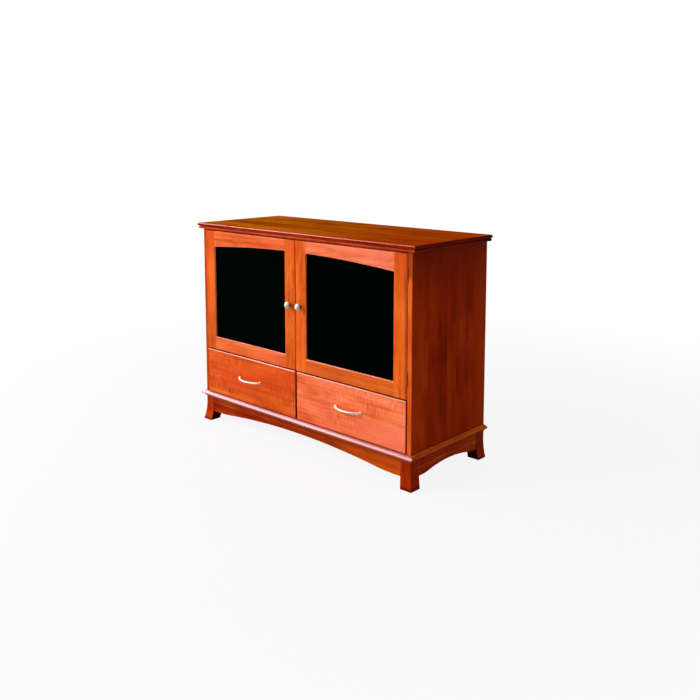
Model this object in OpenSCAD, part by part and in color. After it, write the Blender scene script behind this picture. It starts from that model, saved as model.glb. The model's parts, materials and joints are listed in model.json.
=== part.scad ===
// Television stand with two glazed doors over two drawers, on a base with flared feet.
// The case is described from its own corner of reference: x is 0 at the middle and grows to
// the right, y is 0 at the front edges of the side panels and grows to the back, and z is 0
// at the floor. in_case() then shifts everything so that the origin is under the middle.

/* [Case] */
// Width over the two side panels
case_w = 1175; // [900:5:1500]
// Depth of the side panels
case_d = 459; // [400:1:600]
// Height of the whole stand, floor to top surface
total_h = 890; // [800:1:1000]
// Thickness of the side panels, floor, shelves and partitions
panel_t = 19; // [16:0.5:22]
// Thickness of the back board
back_t = 6; // [4:0.5:9]
// Width of the rebate in each side panel that takes the back board
back_rebate_w = 9.5; // [6:0.5:12]
// Front to back width of the two stretchers under the top
stretcher_w = 80; // [60:1:120]
// Diameter of the cable holes in the back board
cable_hole_d = 64; // [40:1:80]
// Distance from the top down to the middle of the cable holes
cable_hole_drop = 130; // [90:1:200]
// Radius of the softened front edges of the side panels
arris_r = 1.5; // [0.5:0.25:4]
// Radius of the screws that hold the top
top_screw_r = 2.25; // [1.5:0.25:3]
// How far those screws enter the top
top_screw_bite = 12; // [6:1:18]
// Height of their countersunk heads
top_screw_head = 2.5; // [1.5:0.25:4]
// Distance between neighbouring screws along a stretcher
top_screw_pitch = 334; // [150:1:400]

/* [Top] */
// Thickness of the top board
top_t = 25; // [22:0.5:32]
// Overhang of the top past each side panel
top_over_side = 22.5; // [15:0.5:35]
// Overhang of the top past the front edges of the side panels
top_over_front = 16.5; // [12:0.5:30]
// Overhang of the top past the back
top_over_back = 3; // [0:0.5:10]
// Radius of the rounded upper edge
top_round = 5.5; // [3:0.5:8]
// Height of the bead along the lower edge
top_bead_h = 12; // [9:0.5:13]
// How far the bead stands back from the upper edge
top_bead_step = 4; // [2:0.5:8]
// Height of the groove between the bead and the upper edge
top_quirk_h = 1.5; // [1:0.25:2.5]
// Depth of that groove behind the bead
top_quirk_in = 2.5; // [1:0.5:5]

/* [Base] */
// Height of the upper face of the case floor
floor_z = 134; // [120:1:160]
// Side of the square feet at their tops
foot_w = 48; // [40:1:60]
// How far each foot flares outwards at the ground
foot_flare = 12; // [6:0.5:18]
// How far the inner faces of each foot follow the flare
foot_inner_flare = 9; // [2:0.5:16]
// Height over which the feet flare
foot_flare_h = 80; // [50:1:100]
// Thickness of the aprons
apron_t = 19; // [15:0.5:25]
// How far the aprons stand back from the faces of the feet
apron_setback = 1; // [0.5:0.25:4]
// Height of the aprons' lower edges beside the feet
apron_shoulder_z = 45; // [35:1:60]
// Rise of the arch in the front apron
front_arch_rise = 29; // [10:1:45]
// Level length of the front apron's edge beside each foot
front_arch_land = 24; // [5:1:60]
// Radius of the reverse curve at each end of the front arch
front_arch_reverse_r = 900; // [300:10:1200]
// Rise of the arches in the side aprons
side_arch_rise = 18; // [8:1:30]
// Level length of a side apron's edge beside each foot
side_arch_land = 16; // [5:1:30]
// Radius of the reverse curve at each end of a side arch
side_arch_reverse_r = 200; // [100:10:300]
// Height of the base moulding
moulding_h = 23; // [18:0.5:28]
// Projection of the base moulding
moulding_out = 19; // [14:0.5:24]
// Radius of its rounded upper face
moulding_top_r = 24; // [24:0.5:40]
// Height of the nose above the moulding's lower edge
moulding_nose_z = 11.5; // [9:0.5:12]
// Thickness left at the moulding's lower edge
moulding_foot = 5; // [3:0.5:8]
// Height of the corner braces
brace_h = 55; // [40:1:60]
// Thickness of the corner braces
brace_t = 19; // [12:0.5:25]
// Gap between a brace and the inner corner of its foot
brace_gap = 6; // [3:0.5:15]
// Height of the rear apron's lower edge
rear_apron_z = 50; // [40:1:70]
// Diameter of the nylon glides
glide_d = 22; // [16:1:28]
// Height of the glides
glide_h = 2.5; // [2:0.25:4]
// Diameter of each glide's nail
glide_nail_d = 3; // [2:0.25:4]
// Length of each glide's nail
glide_nail_l = 18; // [10:1:25]

/* [Doors] */
// Thickness of the doors and the drawer fronts
front_t = 20; // [18:0.5:22]
// How far doors and drawer fronts stand proud of the side panels
front_proud = 5; // [5:0.25:8]
// Radius of their rounded front edges
edge_r = 4.5; // [2:0.25:6]
// Gap between the two doors
door_mid_gap = 3; // [2:0.25:5]
// Gap between the doors and the top
door_top_gap = 5; // [3:0.25:8]
// Gap between the doors and the drawers
door_drawer_gap = 3.5; // [2:0.25:6]
// Gap behind doors and drawer fronts
front_back_gap = 1; // [0.5:0.25:3]
// Width of the door stiles
stile_w = 57; // [45:1:70]
// Height of the bottom rails
bottom_rail_h = 57; // [45:1:80]
// Height of the top rails where they are deepest, at the outer stiles
top_rail_h = 70; // [60:1:90]
// Rise of the arch that the two top rails share
rail_arch_rise = 23; // [5:1:35]
// Length of the tenons on the rails
tenon_l = 25; // [10:1:35]
// Thickness of the tenons
tenon_t = 6.5; // [5:0.25:8]
// How far the tenons stand back from the rails' edges
tenon_shoulder = 11; // [11:1:18]
// Gap between the tenons and the rebate for the glass
tenon_rebate_gap = 1; // [0.5:0.25:4]
// Thickness of the lip in front of the glass
glass_lip = 8; // [6:0.25:8.5]
// Width of the rebate behind the lip
glass_rebate_w = 10; // [7:0.5:11]
// Thickness of the glass
glass_t = 4; // [3:0.5:5]
// Gap round the edge of the glass
glass_gap = 0.75; // [0.25:0.25:1.5]
// Gap at the joints between the strips that hold the glass
stop_joint = 0.2; // [0.1:0.1:0.5]

/* [Hinges and catches] */
// Gap that holds the closed hinge leaves beside each door
hinge_gap = 3; // [3:0.1:4]
// Height of the hinges
hinge_h = 50; // [40:1:70]
// Distance from the end of a door to the middle of its hinge
hinge_inset = 75; // [55:1:130]
// Thickness of a hinge leaf
leaf_t = 1.2; // [0.8:0.1:1.3]
// Width of a hinge leaf behind the barrel
leaf_w = 13; // [10:0.5:14]
// Radius of the hinge barrels
barrel_r = 2.5; // [2.2:0.1:2.5]
// Radius of the hinge pins
hinge_pin_r = 1.2; // [1:0.05:1.4]
// Radial clearance of the pins
hinge_pin_clear = 0.05; // [0.02:0.01:0.1]
// Length of the middle knuckle of a hinge
knuckle_h = 17; // [12:1:22]
// Gap between neighbouring knuckles
knuckle_gap = 0.3; // [0.2:0.05:0.5]
// Clearance between parts of a hinge that pass each other
hinge_clear = 0.4; // [0.3:0.05:0.5]
// Distance from a hinge's barrel to its screws
hinge_screw_in = 7; // [5:0.25:8]
// Distance between the two screws of a leaf
hinge_screw_pitch = 32; // [20:1:40]
// Height of the buttons on the ends of a hinge pin
pin_button_h = 1.5; // [0.5:0.25:3]
// Length of the hinge screws
hinge_screw_l = 15; // [10:1:18]
// Radius of the hinge screws
hinge_screw_r = 1.4; // [1:0.1:1.6]
// Length of a magnetic catch
catch_l = 44; // [30:1:46]
// Height of a magnetic catch
catch_h = 12; // [8:0.5:16]
// Depth of a magnetic catch
catch_d = 18; // [12:0.5:30]
// Distance from the partition to a catch
catch_in = 4; // [2:0.5:8]
// Margin of the steel strike inside its catch's outline
strike_margin = 1; // [0.5:0.25:3]
// Length of the screw that holds a strike
strike_screw_l = 12; // [6:1:15]
// Thickness of the steel strike on a door
strike_t = 1; // [0.6:0.1:1.2]
// Gap between a closed strike and its catch
catch_gap = 0.3; // [0.3:0.05:0.6]

/* [Knobs and pulls] */
// Diameter of the knobs
knob_d = 28; // [24:1:34]
// Projection of the knobs
knob_out = 25; // [22:0.5:29]
// Radius of the rim of a knob
knob_rim_r = 1.6; // [1:0.1:2]
// Height of the rim above a knob's base
knob_rim_z = 16.5; // [13:0.5:18]
// Height of the slope under a knob's rim
knob_slope = 3; // [2:0.25:5]
// Radius of a knob's neck
knob_neck_r = 5.8; // [4:0.1:8]
// Radius of a knob's base
knob_base_r = 7.5; // [7:0.25:11]
// Thickness of a knob's base
knob_base_t = 2.5; // [1.5:0.25:4]
// Height of the knobs above the doors' lower edge
knob_rise = 264; // [150:1:400]
// Distance between the two posts of a pull
pull_centres = 128; // [96:1:160]
// Projection of the pulls
pull_out = 30; // [30:0.5:36]
// Radius of a pull's bar
pull_bar_r = 3.5; // [3:0.25:5]
// Radius of the flared feet of a pull
pull_foot_r = 6.5; // [5.5:0.25:8]
// Length of a pull's posts
pull_post = 5; // [4.5:0.5:13]
// Height of the flared foot of a post
pull_flare_h = 4; // [2.5:0.5:8]
// How much thicker the posts are than the bar
pull_swell = 1; // [0.5:0.25:1.5]
// Height of the pulls above the drawer fronts' lower edge
pull_rise = 101; // [60:1:140]
// Radius of the screws that hold knobs and pulls
pull_screw_r = 2; // [1.5:0.1:2.5]
// Length of those screws inside the knob or pull
pull_screw_bite = 6; // [4:0.5:7]
// Height of their heads
pull_screw_head = 2.5; // [1.5:0.25:3]
// Clearance of a screw in its threaded or countersunk hole
thread_clear = 0.1; // [0.05:0.05:0.2]

/* [Drawers] */
// Height of the drawer fronts
drawer_front_h = 195; // [150:1:230]
// Gap between the two drawer fronts
drawer_mid_gap = 8; // [4:0.5:12]
// Gap between the drawer fronts and the case floor
drawer_floor_gap = 2; // [1.5:0.25:4]
// How much lower the drawer boxes are than their fronts
box_lower = 45; // [30:1:60]
// Gap between the drawer boxes and the back board
box_back_gap = 38; // [20:1:90]
// Thickness of the boxes' sides and ends
box_t = 12.5; // [10:0.5:16]
// Height of the boxes above the case floor
box_lift = 12; // [8:1:20]
// Thickness of the drawer bottoms
box_bottom_t = 6; // [4:0.5:8]
// Depth of the grooves that hold the drawer bottoms
box_groove = 5; // [3:0.5:7]
// Height of those grooves above the boxes' lower edges
box_groove_z = 10; // [6:1:16]

/* [Drawer slides] */
// Space beside each box for its slide
slide_space = 12.5; // [12:0.1:14]
// Height of the slides
slide_h = 35; // [30:1:45]
// Height of the slides' middle above the boxes' lower edges
slide_rise = 45; // [30:1:80]
// Thickness of the slides' steel
slide_steel = 1.5; // [1.2:0.1:1.8]
// Width of the lips that hold the inner members
slide_lip = 5; // [4:0.5:6]
// Running clearance in the slides
slide_clear = 0.5; // [0.3:0.1:0.8]

/* [Shelves] */
// Height of the shelves' undersides above the middle panel
shelf_rise = 236; // [180:1:280]
// Distance from the doors to the shelves' front edges
shelf_front_gap = 25; // [5:1:100]
// Gap at each end of a shelf
shelf_gap = 1.5; // [0.5:0.25:3]
// Gap between the shelves and the back board
shelf_back_gap = 12; // [2:1:20]
// Spacing of the peg holes
peg_pitch = 32; // [25:1:40]
// Peg holes above and below the pegs in use
peg_spare = 3; // [0:1:3]
// Radius of the shelf pegs
peg_r = 2.5; // [2:0.25:3]
// Depth of the peg holes
peg_hole_depth = 7.5; // [5:0.25:7.5]
// Length of a peg's rest
peg_rest_l = 9; // [6:0.5:12]
// Thickness of a peg's rest and of its shoulder
peg_rest_t = 2; // [1:0.25:2.5]
// Distance from a shelf's long edges to its pegs
peg_inset = 50; // [30:1:90]

/* [Hidden] */

$fn = 64;
// Facets of the very large circles
arc_fn = 720;
// Steps along each half of an apron's arch, and along the curve that leads into it
arch_steps = 24;
reverse_steps = 8;
// Overrun of cutting shapes
cut = 1;

// Which side of the stand a piece belongs to
left = -1;
right = 1;

// Case
side_x = case_w / 2;
inner_x = side_x - panel_t;
case_top_z = total_h - top_t;
case_bottom_z = floor_z - panel_t;
moulding_z = floor_z - moulding_h;
back_y = case_d - back_t;
// Middle of a foot's sole, measured from its outer face
sole_in = (foot_w - foot_flare - foot_inner_flare) / 2;
inside_y = front_t - front_proud + front_back_gap;
drawer_z = floor_z + drawer_floor_gap;
door_z = drawer_z + drawer_front_h + door_drawer_gap;
door_top_z = case_top_z - door_top_gap;
mid_z = door_z - door_drawer_gap / 2 - panel_t / 2;
mid_top_z = mid_z + panel_t;
stretcher_z = case_top_z - panel_t;

// The handles reach furthest forward and the top furthest back, so they set the middle
front_reach = front_proud + pull_out;
back_reach = case_d + top_over_back;
y_shift = (front_reach - back_reach) / 2;

// Doors, given for the right one
door_x0 = door_mid_gap / 2;
door_x1 = inner_x - hinge_gap;
door_w = door_x1 - door_x0;
door_h = door_top_z - door_z;
pane_x0 = door_x0 + stile_w;
pane_x1 = door_x1 - stile_w;
pane_z0 = door_z + bottom_rail_h;
pane_z1 = door_top_z - top_rail_h + rail_arch_rise;
rail_arch_r = (pane_x1 * pane_x1 + rail_arch_rise * rail_arch_rise) / (2 * rail_arch_rise);
glass_y = glass_lip - front_proud;
stop_y = glass_y + glass_t;
door_back_y = front_t - front_proud;
tenon_y = glass_y + (door_back_y - glass_y - tenon_t) / 2;
knob_x = door_x0 + stile_w / 2;
knob_z = door_z + knob_rise;

// Hinges: the axis lies in the gap beside the door, inside its proud edge
axis_x = inner_x - hinge_gap / 2;
axis_y = -barrel_r;
hinge_zs = [door_z + hinge_inset, door_top_z - hinge_inset];
barrel_clear_r = barrel_r + hinge_clear;
leaf_y = axis_y + barrel_clear_r;
hinge_screw_y = leaf_y + hinge_screw_in;
catch_x = [panel_t / 2 + catch_in, panel_t / 2 + catch_in + catch_l];
catch_y = door_back_y + strike_t + catch_gap;

// Drawers, given for the right one
drawer_x0 = drawer_mid_gap / 2;
bay_x0 = panel_t / 2;
bay_mid = (bay_x0 + inner_x) / 2;
box_x0 = bay_x0 + slide_space;
box_x1 = inner_x - slide_space;
box_z = floor_z + box_lift;
box_h = drawer_front_h - box_lower;
box_back_y = back_y - box_back_gap;
pull_x = (drawer_x0 + door_x1) / 2;
pull_z = drawer_z + pull_rise;
slide_z = box_z + slide_rise;

// Shelves
shelf_z = mid_top_z + shelf_rise;
shelf_y1 = back_y - shelf_back_gap;
shelf_y0 = inside_y + shelf_front_gap;
peg_ys = [shelf_y0 + peg_inset, shelf_y1 - peg_inset];

cherry = "chocolate";
pale_wood = "burlywood";
nickel = "gainsboro";
zinc = "silver";
bronze = "saddlebrown";

module in_case() {
    translate([0, y_shift, 0]) children();
}

// Draws a right-hand piece on either side
module sided(side) {
    if (side > 0) children();
    else mirror([1, 0, 0]) children();
}

module block(from, to) {
    translate(from) cube(to - from);
}

// A 2-D shape in x and z, drawn between two depths
module along_y(y0, y1) {
    translate([0, y1, 0]) rotate([90, 0, 0]) linear_extrude(y1 - y0) children();
}

// A 2-D shape in y and z, drawn between two widths
module along_x(x0, x1) {
    translate([x0, 0, 0]) rotate([90, 0, 90]) linear_extrude(x1 - x0) children();
}

// Countersunk screw with its head at the origin, pointing up z
module countersunk(r, l, head_h) {
    cylinder(r1 = 2 * r, r2 = r, h = head_h);
    cylinder(r = r, h = l);
}

// Top board

// Half of the board's section: square at 0, moulded at the far end
module top_half(reach) {
    upper_z = top_bead_h + top_quirk_h;
    bead_r = top_bead_h / 2;
    translate([0, upper_z]) square([reach, top_t - upper_z - top_round]);
    translate([0, upper_z]) square([reach - top_round, top_t - upper_z]);
    translate([reach - top_round, top_t - top_round]) circle(top_round);
    square([reach - top_bead_step - top_quirk_in - bead_r / 2, upper_z]);
    square([reach - top_bead_step - bead_r, top_bead_h]);
    translate([reach - top_bead_step - bead_r, bead_r]) circle(bead_r);
}

module table_top() {
    reach_x = side_x + top_over_side;
    middle_y = case_d / 2;
    color(cherry) in_case() difference() {
        translate([0, 0, case_top_z]) intersection() {
            along_y(-top_over_front, back_reach) {
                top_half(reach_x);
                mirror([1, 0]) top_half(reach_x);
            }
            along_x(-reach_x, reach_x) {
                translate([middle_y, 0]) mirror([1, 0]) top_half(middle_y + top_over_front);
                translate([middle_y, 0]) square([back_reach - middle_y, top_t]);
            }
        }
        top_screws();
    }
}

// Four screws up through each stretcher into the top
module top_screws() {
    for (y = [inside_y + stretcher_w / 2, back_y - stretcher_w / 2])
        for (k = [-1.5 : 1.5])
            translate([k * top_screw_pitch, y, stretcher_z])
                countersunk(top_screw_r, panel_t + top_screw_bite, top_screw_head);
}

// Case

// Peg holes in the face at x = 0, going towards positive x
module peg_holes() {
    for (y = peg_ys)
        for (k = [-peg_spare : peg_spare])
            translate([-cut, y, shelf_z - peg_rest_t - peg_r + k * peg_pitch])
                rotate([0, 90, 0]) cylinder(r = peg_r, h = peg_hole_depth + cut);
}

module side_panel(side) {
    color(cherry) in_case() sided(side) difference() {
        translate([inner_x, 0, case_bottom_z]) linear_extrude(case_top_z - case_bottom_z) {
            translate([0, arris_r]) square([panel_t, case_d - arris_r]);
            translate([arris_r, 0]) square([panel_t - 2 * arris_r, case_d]);
            for (x = [arris_r, panel_t - arris_r]) translate([x, arris_r]) circle(arris_r);
        }
        block([inner_x - cut, back_y, case_bottom_z - cut],
              [inner_x + back_rebate_w, case_d + cut, case_top_z + cut]);
        translate([inner_x, 0, 0]) peg_holes();
        hinge_case_screws();
    }
}

module side_panel_left() { side_panel(left); }
module side_panel_right() { side_panel(right); }

module back_panel() {
    reach = inner_x + back_rebate_w;
    color(pale_wood) in_case() difference() {
        block([-reach, back_y, case_bottom_z], [reach, case_d, case_top_z]);
        for (side = [left, right])
            translate([side * bay_mid, back_y - cut, case_top_z - cable_hole_drop])
                rotate([-90, 0, 0]) cylinder(d = cable_hole_d, h = back_t + 2 * cut);
    }
}

module bottom_panel() {
    color(cherry) in_case()
        block([-inner_x, 0, case_bottom_z], [inner_x, back_y, floor_z]);
}

module mid_panel() {
    color(cherry) in_case() block([-inner_x, inside_y, mid_z], [inner_x, back_y, mid_top_z]);
}

module stretcher_pair() {
    block([-inner_x, inside_y, stretcher_z],
          [inner_x, inside_y + stretcher_w, case_top_z]);
    block([-inner_x, back_y - stretcher_w, stretcher_z], [inner_x, back_y, case_top_z]);
}

module top_stretchers() {
    color(pale_wood) in_case() difference() {
        stretcher_pair();
        top_screws();
    }
}

module centre_partition() {
    color(cherry) in_case() difference() {
        block([-bay_x0, inside_y, mid_top_z], [bay_x0, back_y, case_top_z]);
        stretcher_pair();
        for (side = [left, right])
            sided(side) translate([bay_x0, 0, 0]) mirror([1, 0, 0]) peg_holes();
    }
}

module drawer_divider() {
    color(cherry) in_case() block([-bay_x0, inside_y, floor_z], [bay_x0, back_y, mid_z]);
}

// Shelves and pegs

module shelf(side) {
    color(cherry) in_case() sided(side)
        block([bay_x0 + shelf_gap, shelf_y0, shelf_z],
              [inner_x - shelf_gap, shelf_y1, shelf_z + panel_t]);
}

module shelf_left() { shelf(left); }
module shelf_right() { shelf(right); }

// Peg with its shoulder in the face at x = 0 and its rest towards negative x
module shelf_peg() {
    translate([0, 0, -peg_rest_t - peg_r]) rotate([0, 90, 0])
        cylinder(r = peg_r, h = peg_hole_depth);
    block([-peg_rest_l, -peg_r, -peg_rest_t], [0, peg_r, 0]);
    block([-peg_rest_t, -peg_r, -peg_rest_t - 2 * peg_r], [0, peg_r, 0]);
}

module shelf_pegs() {
    color(nickel) in_case() for (side = [left, right])
        sided(side) for (y = peg_ys) {
            translate([inner_x, y, shelf_z]) shelf_peg();
            translate([bay_x0, y, shelf_z]) mirror([1, 0, 0]) shelf_peg();
        }
}

// Base

// Section of the base moulding: 0 is the face of the case, and the nose points to positive x
module moulding_section() {
    cove_r = moulding_out - moulding_foot;
    difference() {
        intersection() {
            square([moulding_out, moulding_h]);
            translate([0, moulding_h - moulding_top_r]) circle(moulding_top_r, $fn = 128);
        }
        translate([moulding_out, moulding_nose_z - cove_r]) circle(cove_r);
    }
}

// Wedge between the mitre at the right front corner and one other corner point
module mitre_wedge(corner) {
    far = moulding_out + cut;
    translate([side_x, 0, moulding_z - cut]) linear_extrude(moulding_h + 2 * cut)
        polygon([[-cut, cut], [far, -far], corner]);
}

module base_moulding_front() {
    reach = side_x + moulding_out;
    color(cherry) in_case() difference() {
        translate([0, 0, moulding_z]) along_x(-reach, reach)
            mirror([1, 0]) moulding_section();
        for (side = [left, right]) sided(side)
            mitre_wedge([moulding_out + cut, cut]);
    }
}

module base_moulding_side(side) {
    color(cherry) in_case() sided(side) difference() {
        translate([side_x, 0, moulding_z]) along_y(-moulding_out, case_d)
            moulding_section();
        mitre_wedge([-cut, -moulding_out - cut]);
    }
}

module base_moulding_left() { base_moulding_side(left); }
module base_moulding_right() { base_moulding_side(right); }

// Right half of an arched edge, from the shoulder in to the crown: a short curve leaves the
// shoulder level, and the arch takes over where the two have the same slope
function arch_edge(spring, rise, reverse_r) =
    let (arch_r = (spring * spring + rise * rise) / (2 * rise) - reverse_r,
         turn = asin(spring / (arch_r + reverse_r)))
    concat([for (k = [0 : reverse_steps]) let (t = turn * k / reverse_steps)
                [spring - reverse_r * sin(t), reverse_r * (1 - cos(t))]],
           [for (k = [1 : arch_steps]) let (t = turn * (1 - k / arch_steps))
                [arch_r * sin(t), rise - arch_r * (1 - cos(t))]]);

// Board with an arched lower edge: x runs along it from its middle, y is its height
module arched_board(half, top, shoulder, rise, land, reverse_r) {
    edge = arch_edge(half - land, rise, reverse_r);
    back = [for (k = [len(edge) - 2 : -1 : 0]) [-edge[k][0], edge[k][1]]];
    translate([0, shoulder])
        polygon(concat([[-half, 0], [-half, top - shoulder], [half, top - shoulder],
                        [half, 0]], edge, back));
}

module apron_front() {
    color(cherry) in_case() along_y(apron_setback, apron_setback + apron_t)
        arched_board(side_x - foot_w, case_bottom_z, apron_shoulder_z, front_arch_rise,
                     front_arch_land, front_arch_reverse_r);
}

module apron_side(side) {
    outer = side_x - apron_setback;
    color(cherry) in_case() sided(side) translate([0, case_d / 2, 0])
        along_x(outer - apron_t, outer)
            arched_board(case_d / 2 - foot_w, case_bottom_z, apron_shoulder_z,
                         side_arch_rise, side_arch_land, side_arch_reverse_r);
}

module apron_left() { apron_side(left); }
module apron_right() { apron_side(right); }

module apron_rear() {
    outer = case_d - apron_setback;
    color(cherry) in_case() block([foot_w - side_x, outer - apron_t, rear_apron_z],
                                  [side_x - foot_w, outer, case_bottom_z]);
}

// Sliver between a foot's face and its flare, which is an arc that leaves the face level
module flare(out) {
    r = (foot_flare_h * foot_flare_h + out * out) / (2 * out);
    difference() {
        square([out, foot_flare_h]);
        translate([r, foot_flare_h]) circle(r, $fn = arc_fn);
    }
}

// Section of a foot that flares towards positive x, with its outer face at 0
module flared_section() {
    difference() {
        union() {
            translate([-foot_w, 0]) square([foot_w, case_bottom_z]);
            flare(foot_flare);
        }
        translate([-foot_w, 0]) flare(foot_inner_flare);
    }
}

module foot_front(side) {
    color(cherry) in_case() sided(side) difference() {
        intersection() {
            translate([side_x, 0, 0]) along_y(-foot_flare, foot_w) flared_section();
            along_x(side_x - foot_w, side_x + foot_flare) mirror([1, 0]) flared_section();
            block([0, -foot_flare, glide_h], [side_x + foot_flare, foot_w, case_bottom_z]);
        }
        glide_at(sole_in) glide();
    }
}

module foot_rear(side) {
    color(cherry) in_case() sided(side) difference() {
        intersection() {
            translate([side_x, 0, 0]) along_y(case_d - foot_w, case_d) flared_section();
            block([0, 0, glide_h], [side_x + foot_flare, case_d, case_bottom_z]);
        }
        glide_at(case_d - foot_w / 2) glide();
    }
}

module foot_front_left() { foot_front(left); }
module foot_front_right() { foot_front(right); }
module foot_rear_left() { foot_rear(left); }
module foot_rear_right() { foot_rear(right); }

module glide_at(y) {
    translate([side_x - sole_in, y, 0]) children();
}

module glide() {
    cylinder(d = glide_d, h = glide_h);
    cylinder(d = glide_nail_d, h = glide_h + glide_nail_l);
}

module foot_glides() {
    color("dimgray") in_case() for (side = [left, right])
        sided(side) for (y = [sole_in, case_d - foot_w / 2]) glide_at(y) glide();
}

// Diagonal brace across a corner; u and v run inwards from the case's two faces
module brace() {
    inner = apron_setback + apron_t;
    near = 2 * foot_w + brace_gap * sqrt(2) - inner;
    far = near + brace_t * sqrt(2);
    linear_extrude(brace_h)
        polygon([[near, inner], [far, inner], [inner, far], [inner, near]]);
}

module corner_braces() {
    color(pale_wood) in_case() for (side = [left, right]) sided(side)
        for (rear = [0, 1])
            translate([side_x, rear * case_d, case_bottom_z - brace_h])
                mirror([0, rear, 0]) mirror([1, 0, 0]) brace();
}

// Doors

// Board with rounded front edges, its front face at y = 0
module rounded_board(w, h) {
    intersection() {
        linear_extrude(h) rounded_front(w);
        along_x(0, w) rotate(90) mirror([0, 1]) rounded_front(h);
    }
}

// Rectangle with its two front corners rounded: x across, y from the front to the back
module rounded_front(w) {
    translate([0, edge_r]) square([w, front_t - edge_r]);
    translate([edge_r, 0]) square([w - 2 * edge_r, front_t]);
    for (x = [edge_r, w - edge_r]) translate([x, edge_r]) circle(edge_r);
}

module door_blank() {
    translate([door_x0, -front_proud, door_z]) rounded_board(door_w, door_h);
}

// Pane opening, arched at its top on one circle that runs across both doors
module pane_opening() {
    intersection() {
        block([pane_x0, -front_proud - cut, pane_z0],
              [pane_x1, door_back_y + cut, pane_z1 + cut]);
        along_y(-front_proud - 2 * cut, door_back_y + 2 * cut)
            translate([0, pane_z1 - rail_arch_r]) circle(rail_arch_r, $fn = 4 * arc_fn);
    }
}

module glass_rebate() {
    block([pane_x0 - glass_rebate_w, glass_y, pane_z0 - glass_rebate_w],
          [pane_x1 + glass_rebate_w, door_back_y + cut, pane_z1 + glass_rebate_w]);
}

// Tenons of both rails, which are also the mortises in the stiles
module tenons() {
    clear = glass_rebate_w + tenon_rebate_gap;
    for (zs = [[door_z + tenon_shoulder, pane_z0 - clear],
               [pane_z1 + clear, door_top_z - tenon_shoulder]])
        for (xs = [[pane_x0 - tenon_l, pane_x0], [pane_x1, pane_x1 + tenon_l]])
            block([xs[0], tenon_y, zs[0]], [xs[1], tenon_y + tenon_t, zs[1]]);
}

module door_stile(x0, x1) {
    difference() {
        intersection() {
            door_blank();
            block([x0, -front_proud - cut, door_z - cut],
                  [x1, door_back_y + cut, door_top_z + cut]);
        }
        glass_rebate();
        tenons();
        children();
    }
}

module door_stile_outer(side) {
    color(cherry) in_case() sided(side) door_stile(pane_x1, door_x1) {
        for (z = hinge_zs)
            translate([axis_x, axis_y, z - hinge_h / 2 - pin_button_h - hinge_clear])
                cylinder(r = barrel_clear_r,
                         h = hinge_h + 2 * (pin_button_h + hinge_clear));
        hinge_door_screws();
    }
}

module door_stile_inner(side) {
    color(cherry) in_case() sided(side) door_stile(door_x0, pane_x0) {
        knob_screw();
        strike_screw(0);
    }
}

module door_rail(z0, z1) {
    difference() {
        union() {
            intersection() {
                door_blank();
                block([pane_x0, -front_proud - cut, z0], [pane_x1, door_back_y + cut, z1]);
            }
            intersection() {
                tenons();
                block([door_x0, 0, z0], [door_x1, door_back_y, z1]);
            }
        }
        pane_opening();
        glass_rebate();
        strike_screw(0);
    }
}

module door_rail_top(side) {
    color(cherry) in_case() sided(side) door_rail(pane_z0 + cut, door_top_z);
}

module door_rail_bottom(side) {
    color(cherry) in_case() sided(side) door_rail(door_z, pane_z0);
}

module door_glass(side) {
    edge = glass_rebate_w - glass_gap;
    color("black") in_case() sided(side)
        block([pane_x0 - edge, glass_y, pane_z0 - edge],
              [pane_x1 + edge, glass_y + glass_t, pane_z1 + edge]);
}

// Four strips that hold the glass from behind, the upright ones cut to fit between
module door_glass_stops(side) {
    w = glass_rebate_w;
    low = [pane_x0 - w, stop_y, pane_z0 - w];
    high = [pane_x1 + w, door_back_y, pane_z1 + w];
    color(cherry) in_case() sided(side) {
        for (z = [low[2], high[2] - w])
            block([low[0], low[1], z], [high[0], high[1], z + w]);
        for (x = [low[0], high[0] - w])
            block([x, low[1], low[2] + w + stop_joint],
                  [x + w, high[1], high[2] - w - stop_joint]);
    }
}

// Turned knob with its base at z = 0: a shallow cap on a rounded rim, a neck and a base
module knob_body() {
    r = knob_d / 2;
    cap_h = knob_out - knob_rim_z;
    cap_r = (r * r + cap_h * cap_h) / (2 * cap_h);
    slope_z = knob_rim_z - knob_rim_r - knob_slope;
    rotate_extrude() {
        intersection() {
            translate([0, knob_out - cap_r]) circle(cap_r, $fn = 128);
            translate([0, knob_rim_z]) square([r - knob_rim_r / 2, cap_h]);
        }
        translate([r - knob_rim_r, knob_rim_z]) circle(knob_rim_r, $fn = 32);
        polygon([[0, knob_rim_z], [r - knob_rim_r, knob_rim_z],
                 [r - knob_rim_r, knob_rim_z - knob_rim_r],
                 [knob_neck_r, slope_z], [0, slope_z]]);
        square([knob_neck_r, knob_rim_z]);
        square([knob_base_r - knob_base_t / 2, knob_base_t]);
        translate([knob_base_r - knob_base_t / 2, knob_base_t / 2])
            circle(knob_base_t / 2, $fn = 32);
    }
}

// Machine screw up z, its head below 0; clear widens it and lengthens it to make its hole
module machine_screw(l, clear) {
    cylinder(r = pull_screw_r + clear, h = l + clear);
    translate([0, 0, -pull_screw_head])
        cylinder(r = 2 * pull_screw_r, h = pull_screw_head);
}

module knob_screw(clear = 0) {
    translate([knob_x, door_back_y, knob_z]) rotate([90, 0, 0])
        machine_screw(front_t + pull_screw_bite, clear);
}

module door_knob(side) {
    color(nickel) in_case() sided(side) {
        difference() {
            translate([knob_x, -front_proud, knob_z]) rotate([90, 0, 0]) knob_body();
            knob_screw(thread_clear);
        }
        knob_screw();
    }
}

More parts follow.
